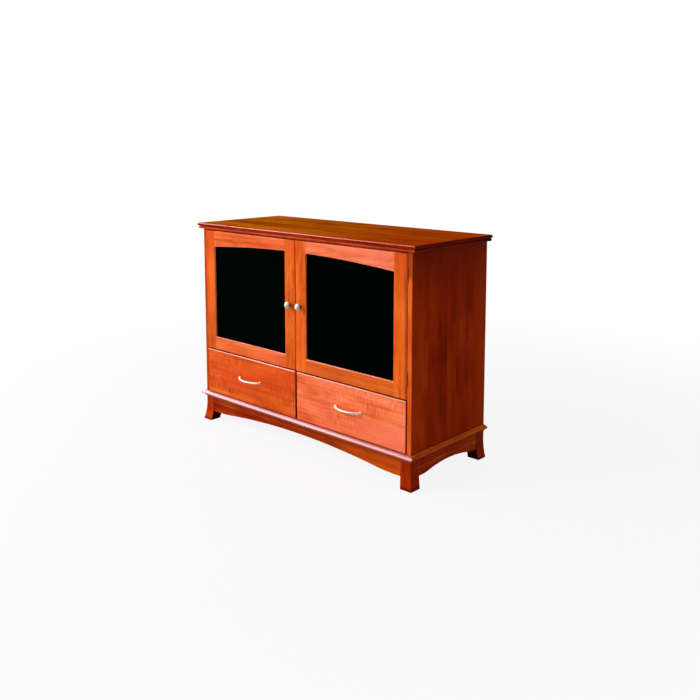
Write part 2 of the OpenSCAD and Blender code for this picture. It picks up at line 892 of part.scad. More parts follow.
module left_door_stile_outer() { door_stile_outer(left); }
module left_door_stile_inner() { door_stile_inner(left); }
module left_door_rail_top() { door_rail_top(left); }
module left_door_rail_bottom() { door_rail_bottom(left); }
module left_door_glass() { door_glass(left); }
module left_door_glass_stops() { door_glass_stops(left); }
module left_door_knob() { door_knob(left); }
module right_door_stile_outer() { door_stile_outer(right); }
module right_door_stile_inner() { door_stile_inner(right); }
module right_door_rail_top() { door_rail_top(right); }
module right_door_rail_bottom() { door_rail_bottom(right); }
module right_door_glass() { door_glass(right); }
module right_door_glass_stops() { door_glass_stops(right); }
module right_door_knob() { door_knob(right); }

// Hinges

// Screws of one leaf, whose inner face is at x = 0; they point towards positive x
module leaf_screws() {
    for (dz = [-0.5, 0.5]) translate([0, hinge_screw_y, dz * hinge_screw_pitch])
        rotate([0, 90, 0]) countersunk(hinge_screw_r, hinge_screw_l, leaf_t);
}

module hinge_case_screws() {
    for (z = hinge_zs) translate([inner_x - leaf_t, 0, z]) leaf_screws();
}

module hinge_door_screws() {
    for (z = hinge_zs) translate([door_x1 + leaf_t, 0, z]) mirror([1, 0, 0]) leaf_screws();
}

module pin_bore() {
    translate([0, 0, -hinge_h / 2 - cut])
        cylinder(r = hinge_pin_r + hinge_pin_clear, h = hinge_h + 2 * cut);
}

// Leaf and its knuckles about the pin's axis; x0 and x1 are the leaf's faces
module hinge_leaf(x0, x1, knuckles) {
    difference() {
        union() {
            block([x0, leaf_y - axis_y, -hinge_h / 2],
                  [x1, leaf_y - axis_y + leaf_w, hinge_h / 2]);
            for (k = knuckles) {
                translate([0, 0, k[0]]) cylinder(r = barrel_r, h = k[1] - k[0]);
                block([x0, 0, k[0]], [x1, leaf_y - axis_y, k[1]]);
            }
        }
        pin_bore();
    }
}

module hinge_case_leaves() {
    half = hinge_h / 2;
    color(bronze) in_case() for (side = [left, right]) sided(side) difference() {
        for (z = hinge_zs) translate([axis_x, axis_y, z])
            hinge_leaf(inner_x - leaf_t - axis_x, inner_x - axis_x,
                       [[-half, -knuckle_h / 2 - knuckle_gap],
                        [knuckle_h / 2 + knuckle_gap, half]]);
        hinge_case_screws();
    }
}

module door_hinge_leaves(side) {
    color(bronze) in_case() sided(side) difference() {
        for (z = hinge_zs) translate([axis_x, axis_y, z])
            hinge_leaf(door_x1 - axis_x, door_x1 + leaf_t - axis_x,
                       [[-knuckle_h / 2, knuckle_h / 2]]);
        hinge_door_screws();
    }
}

module hinge_pins() {
    half = hinge_h / 2;
    color(bronze) in_case() for (side = [left, right]) sided(side)
        for (z = hinge_zs) translate([axis_x, axis_y, z]) {
            translate([0, 0, -half - pin_button_h])
                cylinder(r = hinge_pin_r, h = hinge_h + 2 * pin_button_h);
            for (end = [-half - pin_button_h, half])
                translate([0, 0, end]) cylinder(r = barrel_r, h = pin_button_h);
        }
}

module left_door_hinge_leaves() { door_hinge_leaves(left); }
module right_door_hinge_leaves() { door_hinge_leaves(right); }

// Screws that stay in the case: those of the top and those of the case leaves
module case_screws() {
    color(zinc) in_case() {
        top_screws();
        for (side = [left, right]) sided(side) hinge_case_screws();
    }
}

// Magnetic catches under the front stretcher, and the strikes on the doors
module door_catches() {
    color("dimgray") in_case() for (side = [left, right]) sided(side)
        block([catch_x[0], catch_y, stretcher_z - catch_h],
              [catch_x[1], catch_y + catch_d, stretcher_z]);
}

module strike_screw(clear) {
    translate([(catch_x[0] + catch_x[1]) / 2, door_back_y + strike_t,
               stretcher_z - catch_h / 2])
        rotate([90, 0, 0]) countersunk(hinge_screw_r + clear, strike_screw_l, strike_t);
}

module strike() {
    edge = strike_margin;
    difference() {
        block([catch_x[0] + edge, door_back_y, stretcher_z - catch_h + edge],
              [catch_x[1] - edge, door_back_y + strike_t, stretcher_z - edge]);
        strike_screw(thread_clear);
    }
}

// Hinge screws of one door, with its strike and the strike's screw
module door_fixings(side) {
    color(zinc) in_case() sided(side) {
        hinge_door_screws();
        strike();
        strike_screw(0);
    }
}

module left_door_fixings() { door_fixings(left); }
module right_door_fixings() { door_fixings(right); }

// Drawers

module drawer_front(side) {
    color(cherry) in_case() sided(side) difference() {
        translate([drawer_x0, -front_proud, drawer_z])
            rounded_board(door_x1 - drawer_x0, drawer_front_h);
        pull_screws();
    }
}

// The bottom in its grooves
module box_bottom() {
    block([box_x0 + box_t - box_groove, door_back_y + box_t - box_groove,
           box_z + box_groove_z],
          [box_x1 - box_t + box_groove, box_back_y - box_t + box_groove,
           box_z + box_groove_z + box_bottom_t]);
}

module drawer_sides(side) {
    color(pale_wood) in_case() sided(side) difference() {
        for (x = [box_x0, box_x1 - box_t])
            block([x, door_back_y, box_z], [x + box_t, box_back_y, box_z + box_h]);
        box_bottom();
    }
}

module drawer_ends(side) {
    color(pale_wood) in_case() sided(side) difference() {
        for (y = [door_back_y, box_back_y - box_t])
            block([box_x0 + box_t, y, box_z], [box_x1 - box_t, y + box_t, box_z + box_h]);
        box_bottom();
        pull_screws();
    }
}

module drawer_bottom(side) {
    color(pale_wood) in_case() sided(side) box_bottom();
}

module pull_screws(clear = 0) {
    for (dx = [-0.5, 0.5])
        translate([pull_x + dx * pull_centres, door_back_y + box_t, pull_z])
            rotate([90, 0, 0]) machine_screw(box_t + front_t + pull_screw_bite, clear);
}

// Bowed pull with its two feet at z = 0, bowing towards positive z
module pull_body() {
    half = pull_centres / 2;
    post_r = pull_bar_r + pull_swell;
    rise = pull_out - pull_bar_r - pull_post;
    bow_r = (half * half + rise * rise) / (2 * rise);
    turn = asin(half / bow_r);
    translate([0, 0, pull_out - pull_bar_r - bow_r]) rotate([90, 0, 0])
        rotate([0, 0, 90 - turn]) rotate_extrude(angle = 2 * turn, $fn = 180)
            translate([bow_r, 0]) circle(pull_bar_r, $fn = 40);
    for (x = [-half, half]) translate([x, 0, 0]) {
        cylinder(r1 = pull_foot_r, r2 = post_r, h = pull_flare_h);
        cylinder(r = post_r, h = pull_post);
        translate([0, 0, pull_post]) sphere(post_r);
    }
}

module drawer_pull(side) {
    color(nickel) in_case() sided(side) {
        difference() {
            translate([pull_x, -front_proud, pull_z]) rotate([90, 0, 0]) pull_body();
            pull_screws(thread_clear);
        }
        pull_screws();
    }
}

// Channel fixed to the case: its web is on x = 0 and its mouth faces positive x
module slide_channel() {
    h = slide_h / 2;
    depth = slide_space - slide_steel - slide_clear;
    square_between([0, -h], [slide_steel, h]);
    for (m = [0, 1]) mirror([0, m]) {
        square_between([0, h - slide_steel], [depth, h]);
        square_between([depth - slide_steel, h - slide_steel - slide_lip], [depth, h]);
    }
}

// Hat-shaped member fixed to the box, held behind the channel's lips
module slide_hat() {
    mouth = slide_h / 2 - slide_steel - slide_lip - slide_clear;
    brim = slide_h / 2 - slide_steel - slide_clear;
    depth = slide_space - slide_steel - slide_clear;
    brim_x = depth - 2 * slide_steel - slide_clear;
    square_between([slide_space - slide_steel, -mouth], [slide_space, mouth]);
    for (m = [0, 1]) mirror([0, m]) {
        square_between([brim_x, mouth - slide_steel], [slide_space, mouth]);
        square_between([brim_x, mouth - slide_steel], [brim_x + slide_steel, brim]);
    }
}

module square_between(from, to) {
    translate(from) square(to - from);
}

// A slide section on both walls of one drawer bay
module in_bay() {
    for (end = [0, 1])
        translate([end == 0 ? bay_x0 : inner_x, 0, slide_z]) mirror([end, 0, 0])
            along_y(door_back_y + front_back_gap, box_back_y) children();
}

module slide_rails() {
    color(zinc) in_case() for (side = [left, right]) sided(side) in_bay() slide_channel();
}

module drawer_runners(side) {
    color(zinc) in_case() sided(side) in_bay() slide_hat();
}

module left_drawer_front() { drawer_front(left); }
module left_drawer_sides() { drawer_sides(left); }
module left_drawer_ends() { drawer_ends(left); }
module left_drawer_bottom() { drawer_bottom(left); }
module left_drawer_pull() { drawer_pull(left); }
module left_drawer_runners() { drawer_runners(left); }
module right_drawer_front() { drawer_front(right); }
module right_drawer_sides() { drawer_sides(right); }
module right_drawer_ends() { drawer_ends(right); }
module right_drawer_bottom() { drawer_bottom(right); }
module right_drawer_pull() { drawer_pull(right); }
module right_drawer_runners() { drawer_runners(right); }

table_top();
side_panel_left();
side_panel_right();
back_panel();
bottom_panel();
mid_panel();
centre_partition();
drawer_divider();
top_stretchers();
shelf_left();
shelf_right();
shelf_pegs();
base_moulding_front();
base_moulding_left();
base_moulding_right();
apron_front();
apron_left();
apron_right();
apron_rear();
foot_front_left();
foot_front_right();
foot_rear_left();
foot_rear_right();
corner_braces();
foot_glides();
case_screws();
door_catches();
hinge_case_leaves();
hinge_pins();
slide_rails();
left_door_stile_outer();
left_door_stile_inner();
left_door_rail_top();
left_door_rail_bottom();
left_door_glass();
left_door_glass_stops();
left_door_knob();
left_door_hinge_leaves();
left_door_fixings();
right_door_stile_outer();
right_door_stile_inner();
right_door_rail_top();
right_door_rail_bottom();
right_door_glass();
right_door_glass_stops();
right_door_knob();
right_door_hinge_leaves();
right_door_fixings();
left_drawer_front();
left_drawer_sides();
left_drawer_ends();
left_drawer_bottom();
left_drawer_pull();
left_drawer_runners();
right_drawer_front();
right_drawer_sides();
right_drawer_ends();
right_drawer_bottom();
right_drawer_pull();
right_drawer_runners();
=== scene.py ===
import json
import math
import bpy
import bmesh
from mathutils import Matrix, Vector


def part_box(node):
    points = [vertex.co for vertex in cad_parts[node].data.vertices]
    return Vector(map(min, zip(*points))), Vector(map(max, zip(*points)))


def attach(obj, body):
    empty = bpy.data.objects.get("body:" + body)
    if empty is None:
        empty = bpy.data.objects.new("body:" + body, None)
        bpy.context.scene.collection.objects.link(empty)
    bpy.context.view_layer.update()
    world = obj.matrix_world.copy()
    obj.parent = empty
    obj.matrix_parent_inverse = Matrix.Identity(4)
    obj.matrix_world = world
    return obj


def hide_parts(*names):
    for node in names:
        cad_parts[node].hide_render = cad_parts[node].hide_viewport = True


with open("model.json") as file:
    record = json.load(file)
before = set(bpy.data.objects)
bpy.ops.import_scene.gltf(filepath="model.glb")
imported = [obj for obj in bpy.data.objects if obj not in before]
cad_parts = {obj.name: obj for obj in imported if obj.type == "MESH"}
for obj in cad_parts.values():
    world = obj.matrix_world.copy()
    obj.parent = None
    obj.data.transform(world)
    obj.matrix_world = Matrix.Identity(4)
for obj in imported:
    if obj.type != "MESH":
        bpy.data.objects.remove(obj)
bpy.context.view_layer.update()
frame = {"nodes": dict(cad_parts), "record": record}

scene = bpy.context.scene
bodyOf = {node: body for body, nodes in frame["record"]["behaviour"]["bodies"].items() for node in nodes}
print("frame loaded:", len(bodyOf), "nodes")

caseMiddle = 213.5  # mm from the side panels' front edges back to the row's y = 0
doorFront = -5  # mm, the face of doors and drawers
sides = {"left": -1, "right": 1}  # the way along x to each side


def at(x, y, z):
    # millimetres as on the drawing: y from the side panels' front edges, z from the floor
    return Vector((x, y - caseMiddle, z)) / 1000


def turns(count):
    # even angles round a circle
    return [2 * math.pi * k / count for k in range(count)]


def rgb(red, green, blue):
    # a colour as seen on screen, 0 to 255, as the linear colour that a socket takes
    parts = [c / 255 for c in (red, green, blue)]
    return tuple(c / 12.92 if c <= 0.04045 else ((c + 0.055) / 1.055) ** 2.4 for c in parts) + (1,)


class Wire:
    # one socket of a tree, so that sums can be written as sums
    def __init__(self, bench, socket):
        self.bench, self.socket = bench, socket

    def out(self, which):
        return Wire(self.bench, self.socket.node.outputs[which])

    def split(self):
        made = self.bench.node("ShaderNodeSeparateXYZ", {}, {0: self})
        return made, made.out(1), made.out(2)

    def sum(self, operation, *values):
        return self.bench.node("ShaderNodeMath", {"operation": operation}, dict(enumerate(values)))

    def alone(self, operation):
        return self.sum(operation, self)

    def __add__(self, other):
        return self.sum("ADD", self, other)

    def __radd__(self, other):
        return self.sum("ADD", other, self)

    def __sub__(self, other):
        return self.sum("SUBTRACT", self, other)

    def __rsub__(self, other):
        return self.sum("SUBTRACT", other, self)

    def __mul__(self, other):
        return self.sum("MULTIPLY", self, other)

    def __rmul__(self, other):
        return self.sum("MULTIPLY", other, self)

    def __truediv__(self, other):
        return self.sum("DIVIDE", self, other)

    def __pow__(self, other):
        return self.sum("POWER", self, other)

    def least(self, other):
        return self.sum("MINIMUM", self, other)

    def most(self, other):
        return self.sum("MAXIMUM", self, other)

    def step(self, start, end):
        # 0 at start, 1 at end, soft between them
        return self.bench.node("ShaderNodeMapRange", {"interpolation_type": "SMOOTHSTEP"},
                               {"Value": self, "From Min": start, "From Max": end})


class Bench:
    # a node tree being wired
    def __init__(self, tree):
        self.tree = tree

    def node(self, kind, settings=None, inputs=None, out=0):
        made = self.tree.nodes.new(kind)
        for name, value in (settings or {}).items():
            if name == "stops":
                ramp = made.color_ramp.elements
                while len(ramp) < len(value):
                    ramp.new(1)
                for stop, (place, colour) in zip(ramp, value):
                    stop.position, stop.color = place, colour
            else:
                setattr(made, name, value)
        for name, value in (inputs or {}).items():
            if isinstance(value, Wire):
                self.tree.links.new(value.socket, made.inputs[name])
            else:
                made.inputs[name].default_value = value
        return Wire(self, made.outputs[out])

    def place(self):
        return self.node("ShaderNodeTexCoord", out="Object")

    def noise(self, scale, detail, place, roughness=0.5):
        return self.node("ShaderNodeTexNoise", {}, {"Vector": place, "Scale": scale, "Detail": detail,
                                                    "Roughness": roughness})

    def mix(self, share, first, second):
        return self.node("ShaderNodeMix", {"data_type": "RGBA"}, {0: share, 6: first, 7: second}, out=2)

    def end(self, kind, made, socket="Surface"):
        output = self.tree.nodes.new(kind)
        self.tree.links.new(made.socket, output.inputs[socket])


def newMaterial(name):
    material = bpy.data.materials.new(name)
    material.use_nodes = True
    material.node_tree.nodes.clear()
    return material, Bench(material.node_tree)


def finishMaterial(bench, colour, roughness, height, bump, specular, metallic=0.0):
    # bump is its strength and its depth in metres
    strength, depth = bump
    relief = bench.node("ShaderNodeBump", {}, {"Strength": strength, "Distance": depth, "Height": height})
    surface = bench.node("ShaderNodeBsdfPrincipled", {}, {
        "Base Color": colour, "Roughness": roughness, "Normal": relief, "Metallic": metallic,
        "Specular IOR Level": specular})
    bench.end("ShaderNodeOutputMaterial", surface)


stain = {  # darkest, usual and lightest colour of each part, and the pinker colour of its clouds
    "stile": [(184, 64, 4), (228, 98, 18), (250, 128, 40), (240, 98, 34)],
    "stileLeft": [(172, 56, 2), (216, 90, 12), (240, 118, 32), (230, 88, 26)],
    "rail": [(210, 88, 42), (238, 117, 72), (253, 148, 110), (252, 128, 100)],
    "railLeft": [(192, 68, 14), (222, 96, 36), (246, 126, 70), (238, 104, 62)],
    "lowRail": [(174, 66, 6), (212, 92, 16), (234, 118, 38), (222, 94, 34)],
    # painted highlight on the round by the glass, and painted light on the outer edge beside the hinges
    "lip": [(206, 100, 58), (236, 130, 88), (252, 158, 120), (244, 128, 96)],
    # painted light on the door frame's sides that face the glass
    "lipFacingPaintedLight": [(214, 112, 60), (246, 144, 92), (255, 172, 126), (252, 144, 108)],
    "drawerLeft": [(170, 48, 2), (208, 82, 10), (234, 112, 34), (220, 70, 16)],
    # the right drawer front's own colour, made paler and pinker as a painted sheen
    "drawerRight": [(212, 82, 36), (244, 115, 66), (255, 146, 102), (254, 124, 96)],
    "strip": [(190, 70, 12), (226, 98, 28), (246, 126, 52), (236, 92, 38)],
    "stripLeft": [(150, 42, 0), (184, 64, 0), (206, 84, 8), (186, 56, 0)],
    # painted highlight along the upper round of the drawer fronts
    "wearAndHighlight": [(232, 120, 84), (252, 158, 126), (255, 190, 166), (255, 168, 144)],
    # painted shade for the faces inside the gaps round doors and drawers
    "paintedGapShade": [(80, 10, 0), (108, 20, 2), (138, 36, 8), (114, 20, 4)],
    # the side panels: a darker stain than the front, partly painted shade
    "flank": [(110, 22, 0), (156, 42, 2), (188, 62, 8), (160, 38, 3)],
    "top": [(150, 62, 2), (190, 94, 6), (212, 118, 16), (180, 66, 6)],
    "moulding": [(130, 34, 10), (164, 58, 24), (188, 82, 40), (166, 50, 36)],
    # painted light on the upper round of the side mouldings
    "sideRound": [(176, 66, 8), (222, 100, 28), (244, 128, 50), (214, 84, 26)],
    "topEdge": [(112, 16, 0), (146, 30, 0), (172, 50, 6), (150, 26, 2)],
    "topSide": [(70, 8, 0), (104, 18, 0), (130, 32, 4), (108, 16, 2)],
    # painted highlight on the top board's upper round
    "topRound": [(170, 60, 30), (206, 90, 56), (228, 118, 84), (210, 84, 60)],
    # the bead made lighter: painted light
    "topBead": [(150, 40, 4), (184, 62, 12), (208, 88, 28), (180, 50, 14)],
    "apron": [(106, 20, 0), (158, 46, 1), (206, 86, 16), (152, 34, 2)],
    "foot": [(108, 18, 0), (160, 44, 1), (206, 80, 14), (152, 34, 2)],
    # painted shade for the feet's faces that stay in shade
    "shaded": [(34, 3, 0), (52, 6, 0), (76, 14, 2), (56, 6, 0)],
    "inside": [(150, 62, 24), (184, 84, 36), (206, 106, 52), (184, 78, 44)],
    "pale": [(196, 160, 112), (218, 186, 138), (234, 206, 162), (222, 184, 142)],
    "ply": [(198, 146, 86), (220, 170, 106), (236, 192, 132), (222, 160, 104)],
}

woodNoise = {  # cycles per metre along and across the grain, detail, roughness, a place of its own
    "bend": (1.3, 3.5, 1, 0.5, 3),
    "sway": (0.9, 2.5, 1, 0.5, 9),
    "waver": (6, 30, 2, 0.5, 5),
    "streak": (1.5, 75, 4, 0.6, 1),
    "fibre": (16, 620, 2, 0.6, 2),
    "blotch": (7, 17, 2, 0.5, 4),
    "cloud": (1.6, 4.5, 1, 0.5, 6),
    "pore": (60, 1500, 1, 0.5, 7),
    "curl": (210, 30, 2, 0.6, 8),
    "patch": (6, 11, 1, 0.5, 11),
    "blush": (3.2, 8, 2, 0.5, 12),
    "worn": (14, 26, 3, 0.5, 13),
    "smudge": (5, 8, 3, 0.5, 14),
}

woodLook = {
    "ringWidth": 0.0065,  # m between growth rings
    "pithDepth": 0.075,  # m from the face to the heart of the log
    "pithAside": 0.012,  # m that the heart lies to one side, in steps from board to board
    "cathedral": 0.05,  # how fast that depth changes along the board
    "sway": 0.09, "bend": 0.05,  # m that the heart wanders, in depth and to the side
    "waver": 0.8,  # how far a ring wavers, in rings
    "firstBoard": 50.37,  # where a glued panel's joints fall, in boards
    "boardShift": (7, 5, 6), "heartShift": 0.3,  # m between the places its boards come from
    "streaks": 1.5, "blotches": 1.0, "clouds": 0.8, "rings": 0.22, "fibres": 0.3, "boards": 0.3,
    "stops": (0.12, 0.5, 0.9),  # where the three colours of a stain stand
    "poreStep": (0.62, 0.74), "patchStep": (0.4, 0.62), "blushStep": (0.42, 0.72), "wornStep": (0.38, 0.66),
    "curlAll": 0.25,  # how much curl there is outside its patches
    "blush": 0.6, "pores": 0.3, "fade": 0.5,
    "wornEdge": (0.0032, 0.0004), "wear": 0.3,  # m from the edge, and how far it is worn lighter
    "smudges": 0.12, "poreDull": 0.12, "wearDull": 0.06,  # what they do to the gloss
    "bump": (0.25, 0.00025),
}


def wood(name, box, grain, face, tone, figure=0.0, glued=0.0, fades=(), gloss=0.3, specular=0.06,
         calm=1.0, tails=None):
    material, bench = newMaterial(name)
    look, axes = woodLook, "xyz"
    low, high = box
    middle = (low + high) / 2
    seed = sum(ord(c) * (i + 1) for i, c in enumerate(name)) % 997
    wide = next(a for a in axes if a not in (grain, face))
    place = bench.place()
    xyz = dict(zip(axes, place.split()))
    across = xyz[wide] - middle[axes.index(wide)]
    lift = 0.0
    if glued:  # a panel of several boards, each cut from another place
        board = (across / glued + look["firstBoard"]).alone("FLOOR")
        own = bench.node("ShaderNodeTexWhiteNoise", {"noise_dimensions": "1D"}, {"W": board}, out="Color")
        place = bench.node("ShaderNodeVectorMath", {"operation": "MULTIPLY_ADD"},
                           {0: own, 1: look["boardShift"], 2: place})
        aside, paler, _ = own.split()
        lift = paler - 0.5
        across = across + aside * look["heartShift"] - look["heartShift"] / 2

    def noise(kind):
        along, over, detail, roughness, turn = woodNoise[kind]
        scale = [over] * 3
        scale[axes.index(grain)] = along
        moved = bench.node("ShaderNodeMapping", {}, {
            "Vector": place, "Scale": scale, "Location": (seed * 0.37 + turn, seed * 0.11, turn * 1.7)})
        return bench.noise(1.0, detail, moved, roughness)

    # growth rings of a board sawn from a log
    deep = xyz[face] - middle[axes.index(face)] + look["pithDepth"] \
        + (noise("sway") - 0.5) * look["sway"] + xyz[grain] * look["cathedral"]
    beside = across + (noise("bend") - 0.5) * look["bend"] + (seed % 7 - 3) * look["pithAside"]
    radius = (beside * beside + deep * deep) ** 0.5
    late = (radius / look["ringWidth"] + noise("waver") * look["waver"]).alone("FRACT") ** 3

    streak, fibre, blotch, cloud = (noise(kind) - 0.5 for kind in ("streak", "fibre", "blotch", "cloud"))
    pores = noise("pore").step(*look["poreStep"])
    value = 0.5 + streak * look["streaks"] * calm + blotch * look["blotches"] + cloud * look["clouds"] \
        - late * look["rings"] * calm + fibre * look["fibres"] + lift * look["boards"] * calm
    if figure:  # curly figure: short uneven bars across the grain
        patch = noise("patch").step(*look["patchStep"])
        value = value + (noise("curl") - 0.5) * (patch + look["curlAll"]) * figure
    dark, usual, light, blush = (rgb(*colour) for colour in stain[tone])
    ramp = bench.node("ShaderNodeValToRGB", {"stops": list(zip(look["stops"], (dark, usual, light)))},
                      {0: value})
    colour = bench.mix(noise("blush").step(*look["blushStep"]) * look["blush"], ramp, blush)
    for axis, start, end, other in fades:  # another colour towards one end, used by some callers for painted shade or painted light
        share = (xyz[axis] + (cloud + blotch) * (end - start) * 0.5).step(start, end)
        colour = bench.mix(share * look["fade"], colour, rgb(*other))
    colour = bench.mix(pores * look["pores"], colour, dark)
    if tails:  # end grain of the other board shows at the corners
        near = [(xyz[grain] - end).alone("ABSOLUTE") for end in tails["ends"]]
        depth = near[0].least(near[1])
        wave = ((xyz[wide] / tails["pitch"]).alone("FRACT") - 0.5).alone("ABSOLUTE")
        flank = wave - tails["waist"] - depth * tails["slope"]
        inside = depth.step(tails["reach"] + tails["line"], tails["reach"] - tails["line"])
        colour = bench.mix(flank.step(0.01, -0.01) * inside * tails["endGrain"], colour, dark)
        colour = bench.mix(flank.alone("ABSOLUTE").step(0.02, 0.0) * inside * tails["glueLine"], colour,
                           rgb(*tails["glue"]))

    # worn paler near the edges of the board, in patches
    near = [(xyz[a] - low[i]).least(high[i] - xyz[a]).most(0.0) for i, a in enumerate(axes)]
    second = near[0].least(near[1]).most(near[0].most(near[1]).least(near[2]))
    wearAndHighlight = second.step(*look["wornEdge"]) * noise("worn").step(*look["wornStep"])
    colour = bench.mix(wearAndHighlight * look["wear"], colour, light)

    roughness = gloss + (noise("smudge") - 0.5) * look["smudges"] + pores * look["poreDull"] \
        + wearAndHighlight * look["wearDull"]
    height = fibre * 0.5 + streak * 0.25 - pores * 0.7 - late * 0.25
    finishMaterial(bench, colour, roughness, height, look["bump"], specular)
    return material


metalLook = {"lines": 900, "along": 60, "clouds": 45.0, "spangle": 160.0, "cloudStep": (0.3, 0.75),
             "cloudShare": 0.7, "lineRough": 0.16, "cloudRough": 0.1, "bump": (0.15, 0.00008)}


def metal(name, colour, shade, roughness, brushed="x", metallic=1.0, blotch=0.0):
    # satin metal: fine lines along one direction, soft clouds, and a zinc coat's spangle
    material, bench = newMaterial(name)
    look, place = metalLook, bench.place()
    scale = [look["lines"]] * 3
    scale["xyz".index(brushed)] = look["along"]
    lines = bench.noise(1.0, 2.0, bench.node("ShaderNodeMapping", {}, {"Vector": place, "Scale": scale}))
    clouds = bench.noise(look["clouds"], 3.0, place)
    spangle = bench.node("ShaderNodeTexVoronoi", {}, {"Scale": look["spangle"], "Vector": place}, out="Color")
    share = clouds.step(*look["cloudStep"]) * look["cloudShare"] + spangle.split()[0] * blotch
    rough = roughness + (lines - 0.5) * look["lineRough"] + (clouds - 0.5) * look["cloudRough"]
    finishMaterial(bench, bench.mix(share, rgb(*colour), rgb(*shade)), rough, lines * 0.6 + clouds * 0.4,
                   look["bump"], 0.5, metallic)
    return material


def blackGlass(name):
    # black glass with faint smears and dust
    material, bench = newMaterial(name)
    place = bench.place()
    smear = bench.noise(7.0, 4.0, place)
    dust = bench.noise(900.0, 1.0, place)
    share = dust.step(0.62, 0.8) * 0.2 + smear.step(0.5, 0.8) * 0.1
    finishMaterial(bench, bench.mix(share, rgb(0, 1, 1), rgb(9, 9, 9)), 0.07 + smear.step(0.4, 0.8) * 0.08,
                   smear, (0.05, 0.0002), 0.004)
    return material


def plastic(name, colour, light):
    # moulded plastic: a fine leather grain over soft flow marks
    material, bench = newMaterial(name)
    place = bench.place()
    grain = bench.noise(1400.0, 2.0, place)
    flow = bench.noise(30.0, 2.0, place)
    shade = bench.mix(flow.step(0.35, 0.7) * 0.6 + grain * 0.3, rgb(*colour), rgb(*light))
    finishMaterial(bench, shade, 0.45 + (flow - 0.5) * 0.15, grain, (0.3, 0.0001), 0.4)
    return material


nickel = metal("satinNickel", (222, 200, 180), (192, 172, 156), 0.7, metallic=0.6)
knobNickel = metal("knobNickel", (186, 186, 172), (164, 166, 154), 0.75, metallic=0.45)
# darker metal for the knob's neck: painted shade under the cap
neckPaintedShade = metal("neckPaintedShade", (128, 92, 70), (92, 62, 46), 0.42, brushed="z", metallic=0.8)
zinc = metal("zincSteel", (172, 174, 176), (132, 134, 138), 0.38, brushed="y", blotch=0.35)
copper = metal("stainedBronze", (186, 76, 28), (150, 54, 18), 0.5, brushed="z", metallic=0.15)
smoked = blackGlass("blackGlass")
blackPlastic = plastic("darkPlastic", (26, 25, 26), (48, 47, 47))
print("finishes ready")


def solidsOf(node):
    # boxes of the loose solids of a CAD node
    bm = bmesh.new()
    bm.from_mesh(frame["nodes"][node].data)
    bmesh.ops.remove_doubles(bm, verts=bm.verts, dist=1e-6)
    waiting, boxes = set(bm.verts), []
    while waiting:
        island, front = [], [waiting.pop()]
        while front:
            vert = front.pop()
            island.append(vert.co.copy())
            for edge in vert.link_edges:
                other = edge.other_vert(vert)
                if other in waiting:
                    waiting.remove(other)
                    front.append(other)
        boxes.append(tuple(Vector([pick(c[i] for c in island) for i in range(3)]) for pick in (min, max)))
    bm.free()
    return boxes


def settle(piece):
    # a plain mesh from the piece as its modifiers make it
    graph = bpy.context.evaluated_depsgraph_get()
    mesh = bpy.data.meshes.new_from_object(piece.evaluated_get(graph), preserve_all_data_layers=True,
                                           depsgraph=graph)
    piece.modifiers.clear()
    piece.data = mesh
    return piece


def polish(piece, angle=35):
    # smooth over soft edges, while flat faces stay flat
    piece.data.shade_smooth()
    piece.data.set_sharp_from_angle(angle=math.radians(angle))
    piece.modifiers.new("fair", "WEIGHTED_NORMAL").keep_sharp = True
    return settle(piece)


def holder(name, mesh):
    piece = bpy.data.objects.new(name, mesh)
    scene.collection.objects.link(piece)
    return piece


def meshOf(bm, name):
    bmesh.ops.remove_doubles(bm, verts=bm.verts, dist=1e-7)
    bmesh.ops.recalc_face_normals(bm, faces=bm.faces)
    mesh = bpy.data.meshes.new(name)
    bm.to_mesh(mesh)
    bm.free()
    return mesh


def skin(bm, rings):
    # faces between closed rings of as many points
    for one, two in zip(rings, rings[1:]):
        for k in range(len(one)):
            j = (k + 1) % len(one)
            bm.faces.new([one[k], one[j], two[j], two[k]])


def fit(piece, body, nodes=()):
    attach(piece, body)
    if nodes:
        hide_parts(*nodes)


def dressed(mesh, materials, rule=None):
    # rule picks a face's material from its middle and normal
    mesh.materials.clear()
    for material in materials:
        mesh.materials.append(material)
    for face in mesh.polygons:
        face.material_index = rule(face.center, face.normal) if rule else 0


easing = {"flat": 0.05, "sharp": 40,  # degrees: what is merged into one face, and what counts as an edge
          "shortest": 0.02, "weld": 2e-6, "steps": 3}  # m: shorter edges stay as they are


def easedBoard(node, width, materials, rule=None, rounded=None, radius=0.0):
    # the node's own form with its long edges eased by sandpaper, and those that rounded picks more so
    bm = bmesh.new()
    bm.from_mesh(frame["nodes"][node].data)
    bmesh.ops.remove_doubles(bm, verts=bm.verts, dist=1e-6)
    bmesh.ops.dissolve_limit(bm, angle_limit=math.radians(easing["flat"]), verts=bm.verts, edges=bm.edges,
                             use_dissolve_boundaries=False, delimit=set())
    for pick, offset in ((rounded, radius), (lambda edge: edge.calc_length() > easing["shortest"], width)):
        sharp = [edge for edge in bm.edges if pick and len(edge.link_faces) == 2
                 and edge.calc_face_angle() > math.radians(easing["sharp"]) and pick(edge)]
        if sharp:
            bmesh.ops.bevel(bm, geom=sharp, offset=offset / 1000, offset_type="OFFSET",
                            segments=easing["steps"], profile=0.5, affect="EDGES", clamp_overlap=True)
            bmesh.ops.remove_doubles(bm, verts=bm.verts, dist=easing["weld"])
            bmesh.ops.dissolve_degenerate(bm, edges=bm.edges, dist=easing["weld"])
    mesh = bpy.data.meshes.new(node + "_board")
    bm.to_mesh(mesh)
    bm.free()
    piece = polish(holder(node + "_board", mesh))
    dressed(piece.data, materials, rule)
    fit(piece, bodyOf[node], (node,))


